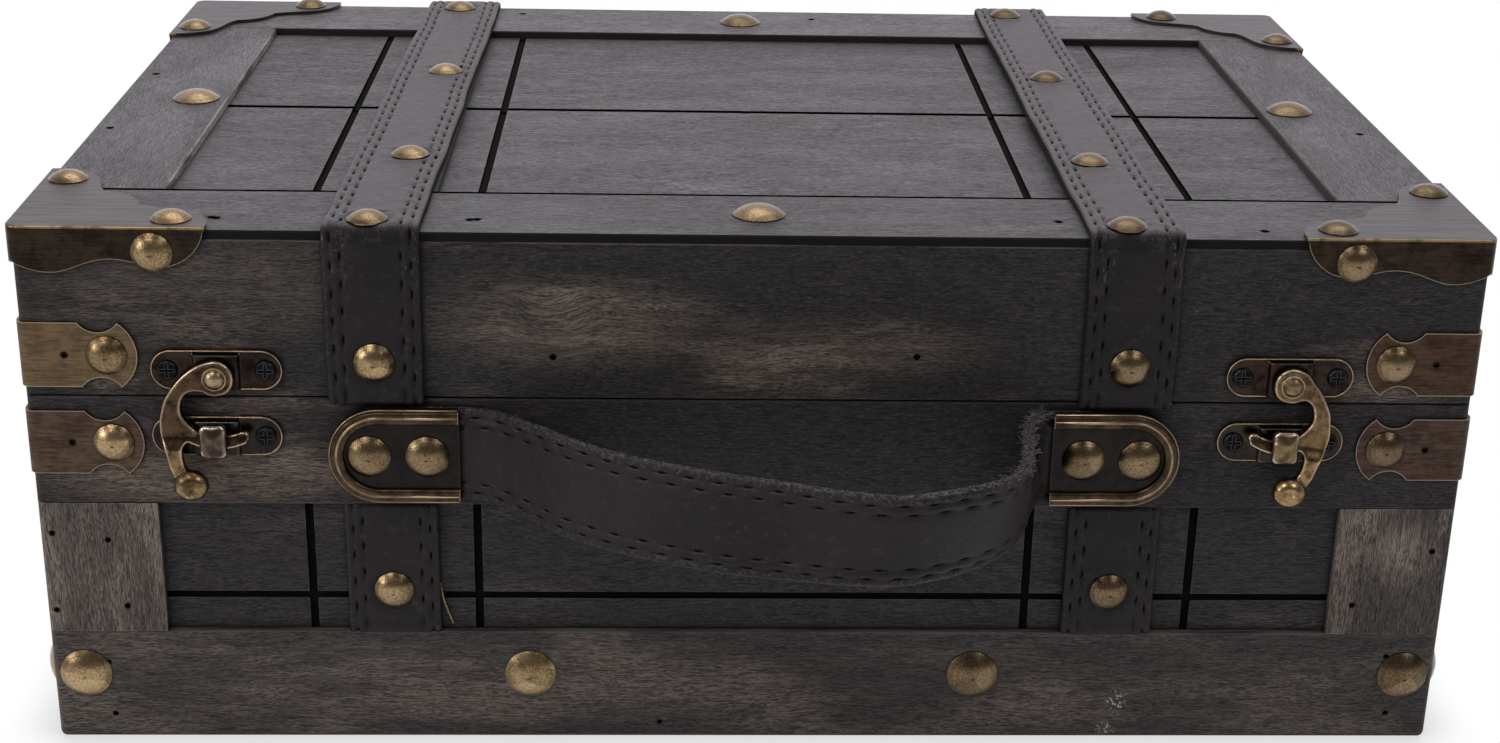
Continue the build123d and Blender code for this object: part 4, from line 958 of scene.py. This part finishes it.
# Two loose threads that hang from the seam at the tight bend
_, place, across, normal = max(
    free_stations, key=lambda station: station[1].x if station[1].y < wall_y - 8 * MM else -1)
root = place + across * (half_handle - 2 * MM) + normal * HANDLE_THICK * 0.55
loose = [[root + Vector((lean * t * t, -0.6 * math.sin(3 * t), -drop * t)) * MM + normal * 0.2 * MM
          for t in (0.0, 0.15, 0.3, 0.45, 0.6, 0.75, 0.9, 1.0)] for drop, lean in ((11, -1.5), (8, 1.2))]
on_handle(tube("handle_loose_threads", loose, 0.12 * MM, stitch_thread, 5))

# A bit of straw caught beside the left base strap: its places in front of the panel
STRAW = ((-66.9, 0.3, 37.0), (-66.3, 0.8, 33.5), (-65.4, 0.7, 30.5), (-64.4, 0.3, 27.3))
panel_y = wall_y + 1.8 * MM
straw_route = smooth_line([Vector((x * MM, panel_y - y * MM, z * MM)) for x, y, z in STRAW], 5)
straw = tube("straw", [straw_route], 0.2 * MM, straw_thread, 6)
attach(straw, "base")

# Cast latch arms. Outlines in millimetres from the pivot, for the left arm: its outer and inner edges, and the
# inner edge of its tail.
ARM_OUTER = (
    (-0.3, 3.65), (-2.1, 3.3), (-4.2, 2.3), (-6.2, 0.8), (-7.8, -0.85), (-9.2, -2.7), (-10.4, -4.7), (-11.1, -6.9),
    (-11.6, -9.1), (-11.7, -11.4), (-11.35, -13.3), (-10.75, -15.1), (-10.35, -17.0), (-9.95, -19.1), (-9.3, -20.8),
    (-8.9, -22.2))
TAIL_INNER = ((-5.9, -20.6), (-6.9, -19.3), (-7.3, -17.7), (-7.4, -16.0), (-7.2, -14.6), (-6.4, -13.7))
ARM_INNER = (
    (-4.2, -11.8), (-5.4, -10.7), (-6.4, -9.5), (-7.1, -8.3), (-7.35, -7.1), (-7.25, -5.6), (-6.7, -4.1),
    (-5.9, -3.2), (-4.8, -2.75), (-3.4, -2.7), (-2.0, -3.0), (-0.5, -3.4))
FINGER_RADIUS, FINGER_HALF, FINGER_FROM, FINGER_TO, FINGER_STEPS = 13.8, 1.15, -30, 23, 12
ARM_BACK, ARM_THICK, TAIL_RISE = 1.95, 1.9, 1.35
ARM_FRONT, ARM_MIDDLE = ARM_BACK + ARM_THICK, ARM_BACK + ARM_THICK / 2
TAIL_FROM, TAIL_TO = -12.2, -15.6
KNOB_X, KNOB_Z, KNOB_RADIUS, KNOB_DEPTH, KNOB_DIMPLE = -5.8, -22.9, 3.5, 2.4, 0.5
BOSS_RADIUS, ARM_PASSES, ARM_SWELL, CAST_VOXEL = 3.75, 45, 0.14 * MM, 0.17 * MM
# The right arm is turned further in, and its bow is nearer to its pivot than that of the left one
RIGHT_ARM_TURN, RIGHT_ARM_SHIFT = math.radians(8.5), 1.2


def remeshed(name, form, passes, material):
    """A piece made of a form's voxels, smoothed as a casting is."""
    mesh = bpy.data.meshes.new(name)
    form.to_mesh(mesh)
    form.free()
    piece = linked(name, mesh)
    remesh = piece.modifiers.new("remesh", "REMESH")
    remesh.mode = "VOXEL"
    remesh.voxel_size = CAST_VOXEL
    remesh.use_smooth_shade = True
    smooth = piece.modifiers.new("smooth", "SMOOTH")
    smooth.factor = 0.5
    smooth.iterations = passes
    bpy.context.view_layer.update()
    shaped = bpy.data.meshes.new_from_object(piece.evaluated_get(bpy.context.evaluated_depsgraph_get()))
    piece.modifiers.clear()
    piece.data = shaped
    shaped.materials.clear()
    shaped.materials.append(material)
    return piece


def settle(piece, node, body):
    """A cast piece takes the place of its CAD piece."""
    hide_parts(node)
    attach(piece, body)


def add_prism(form, outline, back, front):
    """An outline in x and z, filled between two distances in front of the wall."""
    low, high = ([form.verts.new((x * MM, -far * MM, z * MM)) for x, z in outline] for far in (back, front))
    form.faces.new(low)
    form.faces.new(high[::-1])
    for i in range(len(outline)):
        form.faces.new((low[i], low[i - 1], high[i - 1], high[i]))


def softened(points):
    """An outline with smooth curves through its points."""
    return [(p.x, p.y) for p in smooth_line([Vector(point) for point in points], 6)]


def arm_form(side, pivot):
    """A cast arm: its bow with a tail, its finger, a knob on the tail and a boss round the pivot."""
    form = bmesh.new()
    add_prism(form, softened(ARM_OUTER) + softened(TAIL_INNER) + softened(ARM_INNER), ARM_BACK, ARM_FRONT)
    finger = []
    for radius, start, end in ((FINGER_RADIUS + FINGER_HALF, FINGER_FROM, FINGER_TO),
                               (FINGER_RADIUS - FINGER_HALF, FINGER_TO, FINGER_FROM)):
        for i in range(FINGER_STEPS + 1):
            turn = math.radians(start + (end - start) * i / FINGER_STEPS)
            finger.append((radius * math.sin(turn), -radius * math.cos(turn)))
    add_prism(form, finger, ARM_BACK + 0.1, ARM_FRONT - 0.1)
    tip = math.radians(FINGER_TO)
    for place, radii in (
        ((FINGER_RADIUS * math.sin(tip), -ARM_MIDDLE, -FINGER_RADIUS * math.cos(tip)), (1, 0.85, 1)),
        ((KNOB_X, TAIL_RISE - ARM_BACK - 0.75 - KNOB_DEPTH, KNOB_Z), (KNOB_RADIUS, KNOB_DEPTH, KNOB_RADIUS * 0.93)),
    ):
        shape = Matrix.Translation(at(*place)) @ Matrix.Diagonal((*at(*radii), 1))
        bmesh.ops.create_icosphere(form, subdivisions=4, radius=1, matrix=shape)
    disc = Matrix.Translation((0, -ARM_MIDDLE * MM, 0)) @ Matrix.Rotation(math.pi / 2, 4, "X")
    bmesh.ops.create_cone(form, cap_ends=True, segments=64, radius1=BOSS_RADIUS * MM, radius2=BOSS_RADIUS * MM,
                          depth=ARM_THICK * MM, matrix=disc)
    bmesh.ops.recalc_face_normals(form, faces=form.faces)
    piece = remeshed("latch_arm_" + side + "_cast", form, ARM_PASSES, arm_bronze)
    shape = bmesh.new()
    shape.from_mesh(piece.data)
    shape.normal_update()
    swelling = [vert.normal * ARM_SWELL for vert in shape.verts]
    for vert, swell in zip(shape.verts, swelling):
        vert.co += swell
        vert.co.y -= TAIL_RISE * MM * eased((vert.co.z / MM - TAIL_FROM) / (TAIL_TO - TAIL_FROM))
        from_knob = math.hypot(vert.co.x / MM - KNOB_X - 0.3, vert.co.z / MM - KNOB_Z)
        if vert.co.y < -ARM_MIDDLE * MM:
            vert.co.y += KNOB_DIMPLE * MM * math.exp(-(from_knob / 1.2) ** 2)
        if side == "right":
            near = eased(max((-vert.co.x / MM - 2) / 4, (-vert.co.z / MM - 15) / 4))
            vert.co.x += RIGHT_ARM_SHIFT * MM * near
    if side == "right":
        shape.transform(Matrix.Rotation(RIGHT_ARM_TURN, 4, "Y") @ Matrix.Diagonal((-1, 1, 1, 1)))
        bmesh.ops.reverse_faces(shape, faces=shape.faces)
    shape.transform(Matrix.Translation((pivot.x, wall_y, pivot.z)))
    shape.to_mesh(piece.data)
    shape.free()
    settle(piece, "latch_arm_" + side, side + "_latch_arm")


HEAD_DEPTH, HEAD_BULGE = 1.0 * MM, 1.2 * MM


def cast_copy(node, passes, material, body, bulge=0.0):
    """A CAD piece with the soft edges of a casting, its front face bulging out."""
    form = bmesh.new()
    form.from_mesh(nodes[node].data)
    piece = remeshed(node + "_cast", form, passes, material)
    front = min(vert.co.y for vert in piece.data.vertices)
    head = [vert for vert in piece.data.vertices if vert.co.y < front + HEAD_DEPTH]
    spans = {k: (min(vert.co[k] for vert in head), max(vert.co[k] for vert in head)) for k in (0, 2)}
    for vert in head if bulge else ():
        share = 1 - (vert.co.y - front) / HEAD_DEPTH
        for k, (low, high) in spans.items():
            share *= max(0.0, 1 - ((2 * vert.co[k] - low - high) / (high - low)) ** 2)
        vert.co.y -= bulge * share
    settle(piece, node, body)


RING_STEPS, RIM_STEPS = 48, 32


def ring(name, centre, radius, thick, material, body, half_length=0.0):
    """A bead round a circle, or round a long shape with round ends, in a wall's plane."""
    route = []
    for i in range(RING_STEPS):
        turn = 2 * math.pi * i / RING_STEPS
        shift = half_length if math.cos(turn) >= 0 else -half_length
        route.append(centre + Vector((math.cos(turn) * radius + shift, 0, math.sin(turn) * radius)))
    bead = tube(name, [route], thick, material, closed=True)
    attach(bead, body)


def handle_plate_rim(side, sign, ending, inset, thick, level):
    """A bead along the plate's straight edges and round its outer end."""
    plate = "handle_plate_" + side
    low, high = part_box(plate)
    inner, outer = sorted((abs(low.x), abs(high.x)))
    half, middle_z = (high.z - low.z) / 2, (high.z + low.z) / 2
    radius, start = half - inset, inner + 0.2 * MM
    turns = [math.pi * (0.5 - i / RIM_STEPS) for i in range(RIM_STEPS + 1)]
    bend = [(outer - half + radius * math.cos(turn), radius * math.sin(turn)) for turn in turns]
    route = [(start, radius), *bend, (start, -radius)]
    route = [Vector((sign * x, low.y + level, middle_z + z)) for x, z in route]
    bead = tube(plate + ending, [route], thick, bright_rim)
    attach(bead, "base")


for side, sign in SIDES:
    handle_plate_rim(side, sign, "_crest", 1.75 * MM, 0.34 * MM, 0.24 * MM)
    handle_plate_rim(side, sign, "_outline", 0.3 * MM, 0.22 * MM, 0.9 * MM)

LATCH_SHEET, LATCH_HEIGHT, BEAD = 0.8 * MM, 8.6 * MM, 0.16 * MM
arm_face = wall_y - ARM_FRONT * MM
for side, sign in SIDES:
    pivot = tack_centres("latch_rivets", *sorted((sign * 0.05, sign * half_w)))[0][0]
    arm_form(side, pivot)
    for name, level, radius, thick, material in (
        ("latch_boss_rim_", 0.2 * MM, 3.4 * MM, 0.17 * MM, silver_rim),
        ("latch_rivet_ring_", -0.05 * MM, 2.3 * MM, 0.26 * MM, copper_rim),
    ):
        centre = Vector((pivot.x, arm_face + level, pivot.z))
        ring(name + side, centre, radius, thick, material, side + "_latch_arm")
    cast_copy("latch_keeper_" + side, 12, keeper_bronze, "base", HEAD_BULGE)
    cast_copy("latch_plate_" + side, 6, bronze, "lid")
    for kind, body in (("latch_plate_", "lid"), ("latch_keeper_", "base")):
        low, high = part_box(kind + side)
        middle_z = low.z + LATCH_HEIGHT / 2 if body == "lid" else high.z - LATCH_HEIGHT / 2
        middle = Vector(((low.x + high.x) / 2, wall_y - LATCH_SHEET, middle_z))
        ring(kind + side + "_rim", middle, LATCH_HEIGHT / 2 - BEAD, BEAD, copper_rim, body,
             (high.x - low.x) / 2 - LATCH_HEIGHT / 2)

# The floor: white to the camera and in reflections, but for the trunk's shadow where it stands
FLOOR_SHADE, SHADE_REACH = 0.7, 14 * MM
s = Shader("studio_floor")
rays = s.node("ShaderNodeLightPath").outputs
path = s.most(*(rays["Is " + kind + " Ray"] for kind in ("Camera", "Glossy", "Transmission")))
shade = s.ramp(s.closeness(SHADE_REACH), 0.0, 0.5, 1.0, FLOOR_SHADE)
plain = s.node("ShaderNodeBsdfDiffuse", {"Color": (0.75, 0.75, 0.75)})
white = s.node("ShaderNodeEmission", {"Color": (1, 1, 1), "Strength": shade})
bpy.ops.mesh.primitive_plane_add(size=8, location=(0, 0, 0))
floor = bpy.context.object
floor.name = "studio_floor"
floor.data.materials.append(s.layered(path, plain, white))

# The surroundings are bright behind and above the trunk, as a white backdrop is, and dimmer in front
FRONT_LEVEL, BACK_LEVEL = 0.2, 1.25
s = Shader("studio", bpy.data.worlds.new("studio"))
backdrop = s.ramp(s.split(s.place)[1], -0.5, 0.55, FRONT_LEVEL, BACK_LEVEL)
soft = s.node("ShaderNodeBackground", {"Color": (0.985, 0.95, 1.0), "Strength": backdrop})
pure = s.node("ShaderNodeBackground", {"Color": (1, 1, 1), "Strength": 1.0})
seen = s.node("ShaderNodeLightPath").outputs["Is Camera Ray"]
bpy.context.scene.world = s.layered(seen, soft, pure)


def softbox(name, place, target, size, power, color=(1, 1, 1)):
    light = bpy.data.lights.new(name, "AREA")
    light.shape = "RECTANGLE"
    light.size, light.size_y = size
    light.energy = power
    light.color = color
    holder = linked(name, light)
    holder.location = place
    holder.rotation_euler = (Vector(target) - Vector(place)).to_track_quat("-Z", "Y").to_euler()


softbox("key_light", (-0.5, -0.8, 1.15), (0, 0, 0.05), (0.4, 0.4), 5, (1.0, 0.97, 0.93))
softbox("left_light", (-0.95, -0.65, 0.45), (0, -0.1, 0.06), (0.35, 0.45), 3.6, (1.0, 0.98, 0.95))
softbox("fill_light", (0.7, -0.8, 1.0), (0, 0, 0.05), (0.4, 0.4), 2.5)
softbox("top_light", (0.1, 0.2, 1.1), (0, 0, 0.1), (1.0, 0.7), 5)

scene = bpy.context.scene
scene.view_settings.view_transform = "Standard"
scene.view_settings.look = "None"
scene.view_settings.exposure = 0
scene.view_settings.gamma = 1
